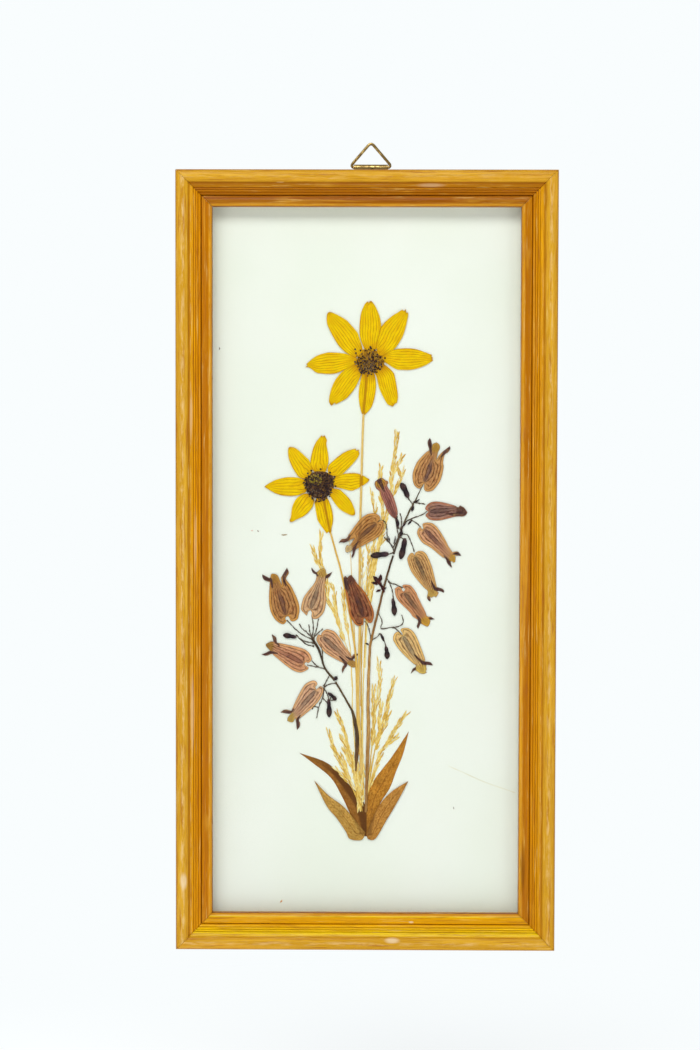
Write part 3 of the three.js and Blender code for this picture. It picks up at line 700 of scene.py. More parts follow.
def petal(node, centre, outline, lift, near, stems, veins, base_dark, seed):
    """One ray of a yellow flower. near and stems are what shows through it from beneath."""
    reach = outline - np.array(centre)
    length = np.linalg.norm(reach, axis=1).max()
    out = reach[np.linalg.norm(reach, axis=1) > length * 0.9].mean(0)
    out /= np.linalg.norm(out)
    local = axes(centre, out)
    rim = local(outline)
    flank = rim[:, 1] > 5
    right, left = outline[(rim[:, 0] > 0) & flank], outline[(rim[:, 0] <= 0) & flank]

    def vein_of(flat):
        to_right = np.linalg.norm(flat[:, None] - right[None], axis=2).min(1)
        to_left = np.linalg.norm(flat[:, None] - left[None], axis=2).min(1)
        return to_right / (to_right + to_left) * veins

    def relief(flat, edge):
        ribs = 0.045 * np.abs(np.sin(vein_of(flat) * math.pi))
        plump = 0.18 * (1 - np.exp(-edge / 0.6))
        return 0.03 + plump + ribs * smooth_step(edge, 0, 0.6) + 0.04 * ripple(flat, 4, seed)

    shape = blade(outline, 0.34, lift, relief, local)
    flat = shape[0][:, :2]
    along = local(flat)[:, 1]
    base = 1 - smooth_step(along, 3.5, 9.5)
    tip = smooth_step(along / length, 0.93, 1.0)
    shade = 1 - 0.12 * base - 0.06 * ripple(flat, 3, seed + 5) - 0.12 * tip
    tint = np.column_stack([shade, shade * (1 - 0.18 * base - 0.12 * tip), shade])
    under = np.maximum(shadowed(flat, near) * 0.55, shadowed(flat, stems) * 0.75)
    made = Batch()
    # darker towards the base, more on the petals that hang below the disc, and at the tip
    under = np.maximum(under, base * base_dark + tip * 0.45)
    made.add(shape, vein=vein_of(flat), tint=tint, under=under)
    made.build(f"{node}_look", [YELLOW], "yellow_petal", [node])


def flower(name, centre, petals, stems, veins, seed):
    """Eight petals, of which every other one lies over its neighbours."""
    outlines = [closed_outline(text) for text in petals]
    for i, outline in enumerate(outlines):
        top = i % 2 == 1
        near = [outlines[i - 1], outlines[(i + 1) % 8]] if top else []
        hangs = outline[:, 1].mean() < centre[1] - 6
        petal(f"{name}_petal_{i + 1}", centre, outline, LAP if top else BLOOM, near, stems, veins,
              0.5 if hangs else 0.2, seed + i)


def floret(made, at, lean, length, thick, high, colour, seed):
    step = np.array([math.sin(lean), math.cos(lean)]) * length
    path = np.column_stack([np.linspace(at, at + step, 4), [high, high + 0.06, high + 0.05, high]])
    radii = [thick * 0.6, thick, thick * 1.15, thick * 0.5]
    made.add(tube(path, radii, 0.6, 6, seed=seed), tint=tone(colour))


FLORETS = 320
GOLDEN_TURN = 2.39996  # radians from one floret to the next
SQUASH = 0.92  # a pressed disc's height over its width
DARK_FLORETS = [(34, 24, 26), (50, 34, 32), (76, 50, 40), (52, 40, 54), (124, 104, 84)]
GOLD_FLORETS = [(206, 152, 24), (176, 122, 26), (198, 160, 60), (150, 106, 34)]


def disc(name, centre, radius, seed, ground, spot, spot_tones, dark_at, dots):
    """The flattened middle of a yellow flower: a mat of short florets, dark where they bunch, and a
    few loose dark anthers round it."""
    rng = random.Random(seed)
    made = Batch()
    angles = np.linspace(0, 2 * np.pi, 24)
    wavy = radius * (1.0 + 0.05 * np.sin(angles * 3 + seed) + 0.04 * np.cos(angles * 7))
    mat = curve(np.column_stack([wavy * np.sin(angles), wavy * np.cos(angles) * SQUASH]), 0.4)[:-1]
    base = turned(mat, (centre[0], centre[1] + radius * 0.04), 0)
    crown = lambda flat, edge: 0.04 + 0.10 * smooth_step(edge, 0, 1.5)
    made.add(blade(base, 0.5, DISC - 0.1, crown), tint=tone(ground))
    for i in range(FLORETS):
        share = (i + 0.5) / FLORETS
        angle = i * GOLDEN_TURN + rng.uniform(-0.3, 0.3)
        lobes = 1 + 0.1 * math.sin(3 * angle + seed)
        reach = radius * math.sqrt(share) * rng.uniform(0.86, 1.08) * lobes
        x, z = reach * math.sin(angle), reach * math.cos(angle) * SQUASH - radius * 0.1
        dark = dark_at(x / radius, z / radius)
        length, lean = rng.uniform(0.3, 0.75), angle + rng.uniform(-1.2, 1.2)
        high = DISC + 0.08 + 0.16 * (1 - share) + rng.uniform(0, 0.1)
        thick = rng.uniform(0.18, 0.36)
        if math.hypot(x - radius * spot[0], z - radius * spot[1]) < radius * 0.38:
            colour = rng.choice(spot_tones)
        elif rng.random() < dark:
            colour = rng.choice(DARK_FLORETS)
        elif share > 0.4 and rng.random() < 0.6:
            continue
        else:
            colour = rng.choice(GOLD_FLORETS)
        at = np.array([centre[0] + x, centre[1] + z])
        floret(made, at, lean, length, thick, high, colour, i)
    for i, at in enumerate(dots):
        colour = (44, 32, 36) if i % 3 else (66, 44, 66)
        foot = np.array(at) - [0.1, 0.35]
        floret(made, foot, rng.uniform(-0.6, 0.6), 0.75, 0.34, DISC + 0.25, colour, i)
    made.build(f"{name}_disc_look", [FLORET], "flower_disc", [f"{name}_disc"])


UPPER_DOTS = points("-4.4,87.2 -2.4,86.7 -4.4,85.6 1.8,88.1 1.8,87.5 3.5,86.9 4.5,85.0 5.8,83.7 "
                    "7.8,83.6 -4.7,82.0 -3.4,81.1 3.9,80.2")
LOWER_DOTS = points("-24.1,36.2 -22.5,37.3 -23.4,35.0 -22.3,34.0 -18.8,37.9 -14.9,36.5 -12.8,34.8 "
                    "-23.9,29.0 -21.8,25.7 -18.1,25.8 -15.7,29.9 -16.5,33.2")


def yellow_flowers():
    flower("upper", UPPER_CENTRE, UPPER_PETALS, [(UPPER_STEM, 0.55)], 8, 11)
    disc("upper", UPPER_CENTRE, 5.6, 3, (200, 148, 28), (0, -0.3),
         [(150, 124, 80), (112, 88, 62), (84, 62, 50), (136, 112, 84), (66, 48, 42)],
         lambda x, z: 0.75 if z < 0.35 and abs(x) < 0.75 else 0.35, UPPER_DOTS)
    flower("lower", LOWER_CENTRE, LOWER_PETALS, [(UPPER_STEM, 0.75), (LOWER_STEM, 0.55)], 6, 31)
    disc("lower", LOWER_CENTRE, 6.2, 5, (112, 80, 48), (-0.25, 0.3),
         [(176, 158, 44), (150, 132, 50), (188, 168, 70), (70, 56, 60), (52, 44, 54)],
         lambda x, z: 0.97, LOWER_DOTS)
    straws = {"upper_stem": (UPPER_STEM, (0.44, 0.46, 0.5, 0.62),
                             [(240, 212, 136), (228, 196, 118), (230, 200, 122)]),
              "lower_stem": (LOWER_STEM, (0.34, 0.38, 0.42, 0.55),
                             [(232, 194, 96), (226, 190, 104)])}
    for name, (line, radii, tones) in straws.items():
        made = Batch()
        made.add(tube(line, radii, 0.5, 12, STEM + 0.25, 1.0),
                 tint=along_tones(tones, len(line), 12))
        made.build(f"{name}_look", [STRAW], "straw", [name])


# ---- heart-shaped flowers -------------------------------------------------------------------

# fill, rim, core and throat are screen colours; the outline starts at the notch
HEARTS = {
    "right_flower_1": dict(
        fill=(186, 134, 78), rim=(206, 154, 86), core=(104, 86, 96), throat=(196, 152, 60),
        veins=4.6, mouth=(28.9, 47.1),
        tips="26.7,44 26.3,46.9 26.1,50.6 / 31,43.2 32,44.7 34.3,47.4",
        outline="23.9,32.3 23.9,29.6 25.1,28.8 26.7,29 28.2,30.1 30.6,33.7 31.8,38.7 31.6,40.7 "
        "32.2,43.9 33.5,44.9 34.5,46.3 / 34.4,47.6 30.6,44.5 / 28.8,41.9 29.5,45 30.1,46.1 "
        "30.3,47.3 29.8,48.4 / 28.8,49.1 / 27.2,48.3 / 27.1,47.1 26.7,49.7 / 26.1,50.9 25.4,49.8 "
        "25.2,48.5 25.8,46 24.4,44.8 20.9,40.9 19.1,36.1 19.6,31.8 22,30"),
    "right_flower_2": dict(
        fill=(168, 108, 92), rim=(160, 100, 80), core=(120, 66, 62), throat=(200, 150, 40),
        veins=3, mouth=(5.9, 32.4),
        tips="7.4,28.9 6.3,31.4 5.2,33.6",
        outline="12.1,17.6 13,20.4 11.1,27 9,30.4 8.7,31.6 9.1,32.3 8.7,33.2 8.1,33.3 6.2,34.4 "
        "3.6,32.7 4,30.2 5.8,28.6 6.1,27 9.2,20.1 11.6,17.7"),
    "right_flower_3": dict(
        fill=(146, 108, 92), rim=(184, 112, 74), core=(112, 88, 80), throat=(90, 60, 50),
        veins=3, mouth=(38.9, 22),
        tips="33,19.9 36.3,19.4 40.2,20",
        outline="25.7,20.4 24.3,21.9 26.1,24.1 29.6,24.7 35.8,23.3 37.5,22.5 38.1,22.5 / 38.6,23.2 "
        "40.4,22.1 / 41.7,20.3 41,19.2 39.8,18.6 36.7,18.5 30.5,17 26.8,17.1 25.3,17.9 / 24.4,19 "
        "24.8,19.7"),
    "right_flower_4": dict(
        fill=(184, 130, 66), rim=(202, 146, 78), core=(96, 66, 56), throat=(222, 196, 140),
        veins=4.6, mouth=(-7.7, 5.2),
        tips="-6.6,10.7 -8,8.7 -11.1,7.7 / -3.3,8.3 -4.7,5.6 -5.8,1.7",
        outline="4.6,16.1 5.9,18 3.9,19.7 0.4,19.4 -3.1,16.6 -7.1,11.1 -7.6,10 -8.6,9.3 -10.1,9.1 "
        "/ -11.4,7.5 -10.1,7.8 -8.6,7.8 / -4.7,9.6 -6.8,6.6 / -7.9,6.8 -8.5,5.6 -8.5,4.1 / "
        "-7.9,3.5 / -5.6,4.6 -5.6,3.4 -6,2.1 / -5.9,1.3 -5,2.4 -4.2,4.8 -3,5.6 4.8,9.9 7.2,13.5 "
        "7.2,16.4 / 6.5,17"),
    "right_flower_5": dict(
        fill=(200, 148, 106), rim=(218, 164, 88), core=(130, 84, 82), throat=(206, 160, 60),
        veins=3.4, mouth=(36, 1),
        tips="35.9,3.1 37.6,3.3 39.2,2.6 / 32.2,2.6 33.9,0.1 35.4,-2.1",
        outline="23.6,13.7 23.4,15.6 26.4,16 29.3,14.1 32.8,8.6 33.7,6.7 / 35.6,3.9 37.8,4.1 / "
        "39.3,2.4 36.9,2.4 / 36.4,2.2 36.9,1.8 / 36.7,-0.3 35.9,-0.4 / 35.4,0.2 / 34.8,-0.2 / "
        "35.5,-2.5 34.5,-1.9 33.5,-0.7 32.7,1.2 31.2,2 26.6,5.7 23,8 21,11.6 21.9,14 / 22.7,14 / "
        "22.9,13.2"),
    "right_flower_6": dict(
        fill=(198, 152, 92), rim=(220, 170, 98), core=(122, 108, 78), throat=(206, 172, 84),
        veins=4.6, mouth=(27.3, -13.5),
        tips="26.9,-8 28.5,-11.2 30.4,-11.5 32.1,-12.6 / 25.8,-14.5 26.3,-16.2",
        outline="20,2.5 20.4,3.6 21.7,4.3 23.3,4.2 24.6,3.3 25.6,1.7 27.3,-2.6 / 29.2,-10.5 "
        "31.4,-11.2 32.1,-11.9 / 32.2,-12.9 30.1,-12.1 / 29.5,-12.4 / 30,-13 / 28.9,-14.9 "
        "28.1,-14.4 27.1,-14.9 / 26.3,-14.6 26.7,-15.6 / 26.6,-16.6 25.7,-16 25.2,-14.8 25.5,-13.1 "
        "25.3,-12 23.4,-10.2 19,-4.7 17.1,0.1 17.4,2.1 18.4,3.4 / 19.4,3.5"),
    "right_flower_7": dict(
        fill=(192, 136, 92), rim=(212, 144, 92), core=(126, 108, 80), throat=(218, 168, 52),
        veins=3.4, mouth=(24.9, -24.8),
        tips="26.1,-23.5 28.2,-23.8 / 20.8,-22.2 22.1,-24.5 21.6,-27.4",
        outline="15.5,-12.5 / 16.3,-11.6 / 15,-10.3 15.6,-9.6 18.4,-10 20.7,-12.8 21.5,-14.8 "
        "24.5,-20.8 25.1,-22.4 26,-22.9 26.7,-22.8 / 28.4,-23.9 / 26.5,-24.1 26.5,-25.1 26,-26.4 "
        "25.1,-26.9 / 22.6,-25.6 / 21.6,-27.9 21,-26.8 21.5,-24.5 19.3,-22.7 18.1,-21 13.1,-15.8 "
        "11.9,-11.9 12.7,-10.7 13.8,-10.4 14.6,-11.1 14.9,-11.9"),
    "right_flower_8": dict(
        fill=(140, 84, 54), rim=(192, 112, 44), core=(74, 48, 48), throat=(96, 60, 50),
        veins=3.4, mouth=(-6.3, -7.4),
        tips="-6.5,-14.3 -8,-10.5 -8.6,-7.2",
        outline="-0.7,-23.5 0.1,-24.1 0.9,-25.2 / 1.9,-25.6 2.8,-24.6 3.2,-20.6 0.3,-13.8 "
        "-3.6,-9.1 -4.5,-7.6 / -6.1,-5.6 -7.1,-6.1 / -7.6,-6.8 / -8.4,-6.1 -9.1,-6.6 -9.1,-9.1 "
        "-7.4,-17.6 -6.7,-22.1 -4.4,-26 -2.6,-26.7 / -1,-26.1 -0.9,-24.8 / -1.3,-24"),
    "right_flower_9": dict(
        fill=(216, 178, 112), rim=(226, 180, 98), core=(184, 178, 142), throat=(222, 192, 92),
        veins=3.4, mouth=(22.9, -44.8),
        tips="20,-38.6 23.5,-41.8 25.4,-42 27.4,-42.7 / 20.7,-42.7 20,-44.6 18.9,-46.2",
        outline="15.2,-30.4 14.9,-29.3 / 14.3,-28.6 14.8,-27.7 17.7,-27.7 20.6,-30.5 24.1,-39.2 / "
        "24.5,-41.3 26.7,-41.7 / 27.8,-43 / 25.1,-42.7 24.9,-43.5 25.2,-44.6 / 24.7,-45.3 / "
        "25.2,-46 23.9,-46.5 22.3,-46.2 20.3,-45.1 / 18.6,-46.5 19.3,-44.5 20.5,-43.7 20.6,-42.9 "
        "19.2,-41.9 14.4,-37.2 11.6,-33.2 11.3,-31.4 11.9,-29.8 13.1,-29.1 14,-29.5 14.5,-30.3"),
    "left_flower_1": dict(
        fill=(176, 124, 70), rim=(208, 150, 66), core=(112, 74, 70), throat=(190, 140, 60),
        veins=4.6, mouth=(-37.7, -6.9),
        tips="-33.1,-10.2 -33.8,-7.7 -33.5,-5.4 -32.7,-3.1 / -38.6,-11 -39.3,-7.7 -41,-7.5 "
             "-42.6,-5.9",
        outline="-32.8,-22.9 / -31.9,-22.9 -30.8,-24.8 -28.8,-24.5 -27.8,-22.8 -27.6,-18 "
        "-30.4,-11.2 -32.7,-7.9 -32.9,-6.9 -31.8,-4.8 / -32.6,-2.7 -34.7,-6.3 -35,-7.4 / -34.7,-10 "
        "-36.4,-6 -38.5,-5.2 -39.2,-5.6 -39.4,-6.6 / -39.8,-7.1 / -42.8,-5.5 -42.7,-6.7 -41.9,-7.9 "
        "/ -39.7,-8.7 -40,-15.2 -39.5,-20.2 -37.5,-24.1 -34.6,-26.1 -33.3,-25.6 -32.8,-24.6 "
        "-33.3,-23.8"),
    "left_flower_2": dict(
        fill=(202, 162, 118), rim=(210, 158, 96), core=(150, 136, 112), throat=(196, 158, 66),
        veins=3.4, mouth=(-17.9, -4.6),
        tips="-16.7,-8.1 -16,-6.3 -14.1,-4.8 / -19.9,-6 -21,-4.8 -22.3,-3.1",
        outline="-22.8,-20.3 -22.3,-21.3 -22.5,-22.6 / -22.3,-23.7 -20.9,-23.9 -19.4,-23.4 "
        "-17.3,-20.8 -16.4,-15.9 -16.9,-11.2 / -16.5,-7.1 -15.8,-7 -14.9,-6.3 / -13.9,-4.4 / "
        "-16.5,-5.8 -16.6,-3.7 -17.4,-3 -19.1,-3.5 -20.3,-4.5 -21.2,-4.1 / -22.5,-2.6 -22.4,-3.8 "
        "-21.7,-5 -20.5,-5.8 -21.2,-8.9 -25.5,-14.7 -26.7,-18.9 -26.4,-20.5 / -24.4,-22.6 "
        "-23.6,-20.6"),
    "left_flower_3": dict(
        fill=(200, 144, 104), rim=(218, 160, 98), core=(168, 104, 84), throat=(160, 122, 48),
        veins=3.4, mouth=(-39.9, -35.1),
        tips="-35.8,-35 -37.2,-33.2 -38.6,-30.8 / -36.6,-38.2 -39.5,-37.8 -42.7,-38.5",
        outline="-25.3,-42.4 / -24.6,-41.7 -23.6,-42.1 -22.3,-40.4 -23.8,-37.5 -27.5,-35.7 / "
        "-36.7,-33.7 -37.1,-31.5 / -38.9,-30.3 / -38.1,-33.4 -39.3,-33.3 -41.2,-34.4 -41,-35.5 / "
        "-39.5,-37 -41.8,-38.2 / -43.2,-38.6 -41.9,-39.1 -40.7,-39.1 -38.8,-38.4 -37.6,-39.4 "
        "-31.2,-44.5 -27.3,-46.1 -24.2,-45 / -23.6,-44 -25.1,-43"),
    "left_flower_4": dict(
        fill=(206, 158, 116), rim=(218, 160, 98), core=(142, 128, 108), throat=(180, 138, 58),
        veins=3.4, mouth=(-5.4, -42.4),
        tips="-8.1,-39.5 -5.8,-40.5 -3,-38.4 / -10.8,-39.3 -8.3,-42.5 -9.4,-45.9",
        outline="-18.2,-30.8 -18.4,-29.9 -16.8,-28.4 -15.1,-28.3 -12.2,-29.8 -8.1,-36 -6.9,-37.4 / "
        "-5.7,-39.5 -5.2,-38.6 -4.2,-38.2 / -2.7,-38.3 / -5.4,-40.8 -4.6,-41.4 -4,-42.6 / "
        "-4.2,-43.8 -5.6,-43.9 / -7.6,-42.6 -7.9,-43.5 -8.7,-44.5 / -9.6,-46.4 -9.9,-44.9 "
        "-9.5,-43.5 -9.2,-42.3 -14.3,-39.5 -17.6,-37.1 -20.1,-33.3 -20.3,-31.7 / -19.7,-30.4 "
        "-18.9,-30.4"),
    "left_flower_5": dict(
        fill=(206, 162, 124), rim=(218, 166, 106), core=(152, 138, 118), throat=(192, 162, 72),
        veins=3.4, mouth=(-31, -65.3),
        tips="-29.6,-61.2 -31.2,-62.5 -34.8,-62.6 / -27.1,-63.9 -28.1,-65.9 -28.2,-69.5",
        outline="-20.4,-53.2 / -20.9,-52.1 -20.1,-51.2 -20.1,-50.3 -20.9,-49.6 -22.3,-49.5 "
        "-25.4,-51.4 -28.5,-57 / -30.7,-62 -32.7,-61.5 -33.9,-61.7 / -35.3,-62.7 -32,-63.2 / "
        "-30.8,-63 -32.2,-64.9 / -32.4,-66.2 -31.2,-66.7 -30,-66.6 / -29,-64.9 / -28.4,-70 "
        "-27.3,-68.6 -27.1,-67.2 -27.6,-65.8 -26.9,-64.9 -21.9,-60.7 -18.8,-57 -17.4,-53.4 "
        "-17.9,-52.1 / -18.8,-51.7"),
}

TIP_TONE = (88, 60, 56)


def heart_flower(node, fill, rim, core, throat, veins, mouth, tips, outline, lift, beneath, seed):
    """One flattened flower. Its axis runs from the notch, where the outline starts, to its mouth."""
    notch, mouth = np.array(runs(outline)[0][0]), np.array(mouth)
    line = closed_outline(outline)
    length = np.linalg.norm(mouth - notch)
    out = (mouth - notch) / length
    local = axes(notch, out)
    axis = curve([notch + out * length * 0.04, (notch + mouth) / 2, mouth], 0.5)

    def vein_of(flat, edge):
        to_axis = line_distance(flat, axis)
        return veins * to_axis / (to_axis + edge + 0.01)

    def relief(flat, edge):
        lines = np.abs(np.sin(vein_of(flat, edge) * math.pi + ripple(flat, 2.2, seed)))
        plump = 0.2 * (1 - np.exp(-edge / 0.9))
        return 0.05 + plump + 0.05 * lines * smooth_step(edge, 0.2, 0.9)

    shape = blade(line, 0.3, lift, relief, local)
    flat = shape[0][:, :2]
    edge = shape[2]["edge"]
    across, along = local(flat).T
    along = along / length
    wobble = ripple(flat, 1.6, seed + 3)
    in_tip = np.zeros(len(flat))
    for tip in runs(tips):
        stroke = curve(tip, 0.2)
        reach = np.linalg.norm(flat[:, None] - stroke[None], axis=2)
        widths = np.linspace(0.3, 1.25, len(stroke))
        in_tip = np.maximum(in_tip, (1 - smooth_step(reach / widths, 0.7, 1.15)).max(1))
    in_mouth = 1 - smooth_step(np.linalg.norm(flat - mouth, axis=1) + 0.5 * wobble, 1.5, 2.9)
    streak = bell(across, 0, 0.9 + 0.35 * wobble) * smooth_step(along, -0.02, 0.08)
    streak = streak * (1 - smooth_step(along, 0.35, 0.85))
    middle = smooth_step(edge, 1.0, 3.0) * (1 - smooth_step(along, 0.5, 0.95))
    tint = blend(tone(fill) * [1.2, 1.28, 1.38], tone(rim) * 1.08, bell(edge, 0, 0.75) * 0.9)
    tint = blend(tint, tone(core), np.clip(streak * 0.6 + middle * 0.08, 0, 1))
    tint = blend(tint, tone(fill) * 0.6, smooth_step(along, 0.62, 0.98) * 0.4)
    tint = blend(tint, tone(throat), in_mouth * 0.85)
    tint = blend(tint, tone(TIP_TONE), in_tip) * (1 + 0.10 * wobble[:, None])
    made = Batch()
    made.add(shape, tint=tint, vein=vein_of(flat, edge), under=shadowed(flat, beneath) * 0.3,
             core=np.clip(streak * (0.6 + 0.5 * wobble), 0, 1) * (1 - in_tip))
    made.build(f"{node}_look", [HEART], "heart_flower", [node])


def heart_flowers():
    for i, (node, parts) in enumerate(HEARTS.items()):
        over = node in ("right_flower_4", "right_flower_8")
        heart_flower(node, **parts, lift=LAP + 0.1 if over else BLOOM - 0.1,
                     beneath=[(UPPER_STEM, 0.6)] if over else [], seed=50 + i)


# ---- sprays ---------------------------------------------------------------------------------

DUSK, BROWN, OLIVE, GREY = (76, 62, 48), (176, 132, 74), (112, 100, 66), (104, 92, 78)
STEM_TAN = (208, 164, 96)
# colours along a bud or bract
DARK = [(96, 70, 66), (66, 50, 56), (44, 36, 42), (84, 60, 56), (50, 38, 42)]
RED = [(96, 44, 36), (84, 38, 36), (60, 34, 36), (104, 52, 44)]


def spray(node, axis, radii, tones, twigs, buds, bracts=()):
    """A stem with its side twigs and buds. tones run along the stem from its foot."""
    made = Batch()
    line = shaken(curve(points(axis), 0.5), 0.07, 2.5, 4.0, 8.0)
    made.add(tube(line, radii, 0.6, 12, LOW + 0.35, 2.0), tint=along_tones(tones, len(line), 12))
    for i, twig in enumerate(runs(twigs)):
        path = shaken(curve(twig, 0.3), 0.10, 0.9, i, i + 9)
        knobs = [0.2 + 0.07 * math.sin(k * 1.9 + i) for k in range(12)]
        made.add(tube(path, (0.32, *knobs[1:], 0.24), 0.7, 8, LOW + 0.3, i), tint=tone(GREY))
        middle = path[len(path) // 2]
        knot = curve([middle - [0.25, 0.2], middle, middle + [0.25, 0.25]], 0.15)
        made.add(tube(knot, (0.1, 0.32, 0.1), 0.7, 8, LOW + 0.32, i), tint=tone(GREY) * 0.8)
        root = curve([twig[0], np.array(twig[0]) * 0.75 + np.array(twig[1]) * 0.25], 0.2)
        made.add(tube(root, (0.42, 0.36, 0.2), 0.6, 8, LOW + 0.32, i), tint=tone(GREY))
    for i, (start, end, radii_along, shades) in enumerate(buds):
        middle = (np.array(start) + np.array(end)) / 2 + [0.15, 0.1]
        path = curve([start, middle, end], 0.2)
        made.add(tube(path, radii_along, 0.5, 12, LOW + 0.55, i), 1,
                 tint=along_tones(shades, len(path), 12))
    for i, (at, degrees, size, half, shades) in enumerate(bracts):
        path = curve(turned([(0, 0), (0.12, size * 0.5), (-0.1, size)], at, degrees), 0.25)
        widths = (0.15, half * 0.8, half, half * 0.7, 0.08)
        made.add(tube(path, widths, 0.4, 8, LOW + 0.5, i + 30), 1,
                 tint=along_tones(shades, len(path), 8))
    made.build(f"{node}_look", [TWIG, BUD], "dark_twig", [node])


CLUB = (0.4, 0.9, 1.1, 1.05, 1.0, 1.15, 1.3, 1.25, 0.95, 0.3)
SLIM = (0.3, 0.6, 0.8, 0.75, 0.8, 1.05, 1.15, 1.1, 0.8, 0.25)


def sprays():
    spray("right_spray_lower",
          "0.2,-104 0.7,-85 1.1,-69 1,-57 1.5,-39.4 2.1,-33.2 5.1,-20.4 8.3,-7.2 11.1,2.4",
          (0.5, 0.72, 0.74, 0.66, 0.56, 0.48, 0.42, 0.38),
          [BROWN, BROWN, STEM_TAN, STEM_TAN, BROWN, (128, 96, 62), DUSK],
          "8.3,-6.7 10,-8.8 12.5,-9.6 15.2,-11 / 9.3,-8.1 10.8,-11.7 11.4,-15.8 / 4.9,-20.8 "
          "6.7,-24.9 6.3,-27.8 11.3,-27.4 14.6,-29.9 / 11,-27.4 14.2,-26.6 15.4,-24.9 14.8,-22 / "
          "2.2,-32.2 1,-27 -0.5,-24.6 / 2.4,-32.6 4.7,-31.2 5.9,-29.9 7.6,-32.8 8.3,-35.4",
          [((11.0, -15.2), (11.8, -22.4), SLIM, DARK), ((8.2, -35), (8.9, -40.4), SLIM, DARK),
           ((6.0, -30.0), (7.4, -33.0), (0.2, 0.5, 0.55, 0.2), DARK),
           ((7.6, -12.8), (5.4, -8.6), (0.3, 0.6, 0.5, 0.8), RED)],
          [((5.8, -9.6), -38, 4.6, 1.0, RED), ((5.4, -8.6), 14, 3.4, 0.8, RED),
           ((4.8, -9.6), -70, 2.8, 0.6, RED), ((6.6, -11.4), 74, 2, 0.45, DARK),
           ((6.2, -11.8), -110, 2.2, 0.5, RED), ((1.2, -34.6), -60, 1.6, 0.35, DARK)])
    spray("right_spray_upper",
          "11.3,3 13.6,9.8 15.5,15.6 17.9,20.9 19.8,24.3 23.3,31.6",
          (0.38, 0.36, 0.3, 0.32, 0.36, 0.2, 0.16),
          [DUSK, GREY, OLIVE, GREY],
          "13.4,10 12.8,13.1 12.1,17.6 / 19.2,23.6 17.7,25.5 16.9,27.6 / 19.3,24.4 21.8,24 "
          "24.2,23.6 / 15.6,16 18.5,17.6 22.7,19.1 25,20.6 / 18.3,17.4 21,15.6 22.4,14.2 / "
          "13.9,11.2 16.9,11 18.6,7.7 19.9,4 / 11.6,4.2 10.3,6.9 8.7,8.5 7.5,10 / 8.8,8.3 8.3,15 "
          "6.8,17 / 10.9,5.4 12.9,8.9 13.7,12 / 11.3,3.6 9.1,3 6.2,2.4 / 13.7,10 15.2,9.4 15.9,7.6 "
          "/ 14.2,13 14.6,17 13.9,19.8 / 13.5,13.4 12.4,16.2 12.9,18.6",
          [((17.3, 26.2), (14.3, 32.4), CLUB, DARK), ((16.1, 9.6), (14.2, 0.9), CLUB, DARK),
           ((9.4, 3.1), (1.9, 2.2), CLUB, DARK)],
          [((13.2, 14), -12, 4.4, 0.75, DARK), ((14.3, 10.2), 4, 3.4, 0.65, DARK),
           ((18.7, 20.6), 14, 3, 0.6, DARK), ((17.1, 15.2), 42, 2.8, 0.4, DARK),
           ((11, 5.4), -28, 2.6, 0.3, DARK), ((11.4, 7.2), 12, 3.4, 0.3, DARK),
           ((19.4, 24.2), 62, 3, 0.35, DARK), ((14.6, 14), 40, 3.4, 0.35, DARK),
           ((9.6, 8), -8, 2.4, 0.3, DARK)])
    spray("left_spray_lower",
          "-4,-87 -3.5,-73 -5.1,-63.5 -7,-59.4 -12.4,-50",
          (0.3, 0.8, 0.84, 0.78, 0.45, 0.38, 0.38),
          [(136, 100, 60), (92, 72, 52), (100, 82, 56), (108, 90, 62)],
          "-12.1,-50.6 -14.3,-50.7 -16.3,-51.5 -17.6,-52.4 -19.4,-52.3 / -17.4,-52.2 -15.6,-55.7 "
          "-15.1,-59 / -15.4,-57.5 -12.6,-57.6 / -17.2,-52.9 -17.8,-56.4 -19.2,-59.8 -20.3,-65 / "
          "-17.4,-51.8 -15.9,-48.9 -14.8,-46.9 / -17.9,-56.6 -15.6,-58.4 -14.4,-56.4 / -19.5,-60.6 "
          "-21.3,-60.2 -22.2,-61.4",
          [((-15.4, -57), (-15.1, -64.6), SLIM, DARK),
           ((-15.6, -54.4), (-12.2, -57.4), (0.3, 0.7, 0.6, 0.9, 0.5), DARK)])
    spray("left_spray_upper",
          "-12.8,-49.4 -16.9,-44.1 -19.3,-36.9 -22.3,-31.8",
          (0.5, 0.42, 0.36, 0.42, 0.52, 0.5),
          [(100, 82, 56), DUSK, DUSK],
          "-22,-32.4 -25.5,-30.8 -29.2,-28 -32.6,-24.4 / -22,-32 -23.8,-30 -26.3,-27.9 -27.5,-25.9 "
          "/ -22.2,-32 -23.2,-28.6 -23.5,-26.2 / -22.2,-32 -21.7,-27.5 -22.2,-23 / -21.6,-32.2 "
          "-20.3,-27.8 -19.6,-23.8 / -22,-32.2 -20.2,-30.2 -17.8,-28 / -21.2,-34 -26,-32.8 "
          "-29,-30.4 / -21.4,-35.2 -24.6,-34.4 -27.6,-31.8 / -17.8,-42.4 -18,-37 -19,-34.4 / "
          "-16.6,-44.6 -20.5,-43.7 -24.2,-43 / -19.6,-43.8 -21.4,-42.2 -22.4,-41.2",
          [((-28.6, -31.6), (-34.2, -30.6), SLIM, DARK),
           ((-13.2, -48.8), (-11.6, -48.2), (0.4, 0.8, 0.9, 0.4), DARK)])


# ---- leaves ---------------------------------------------------------------------------------


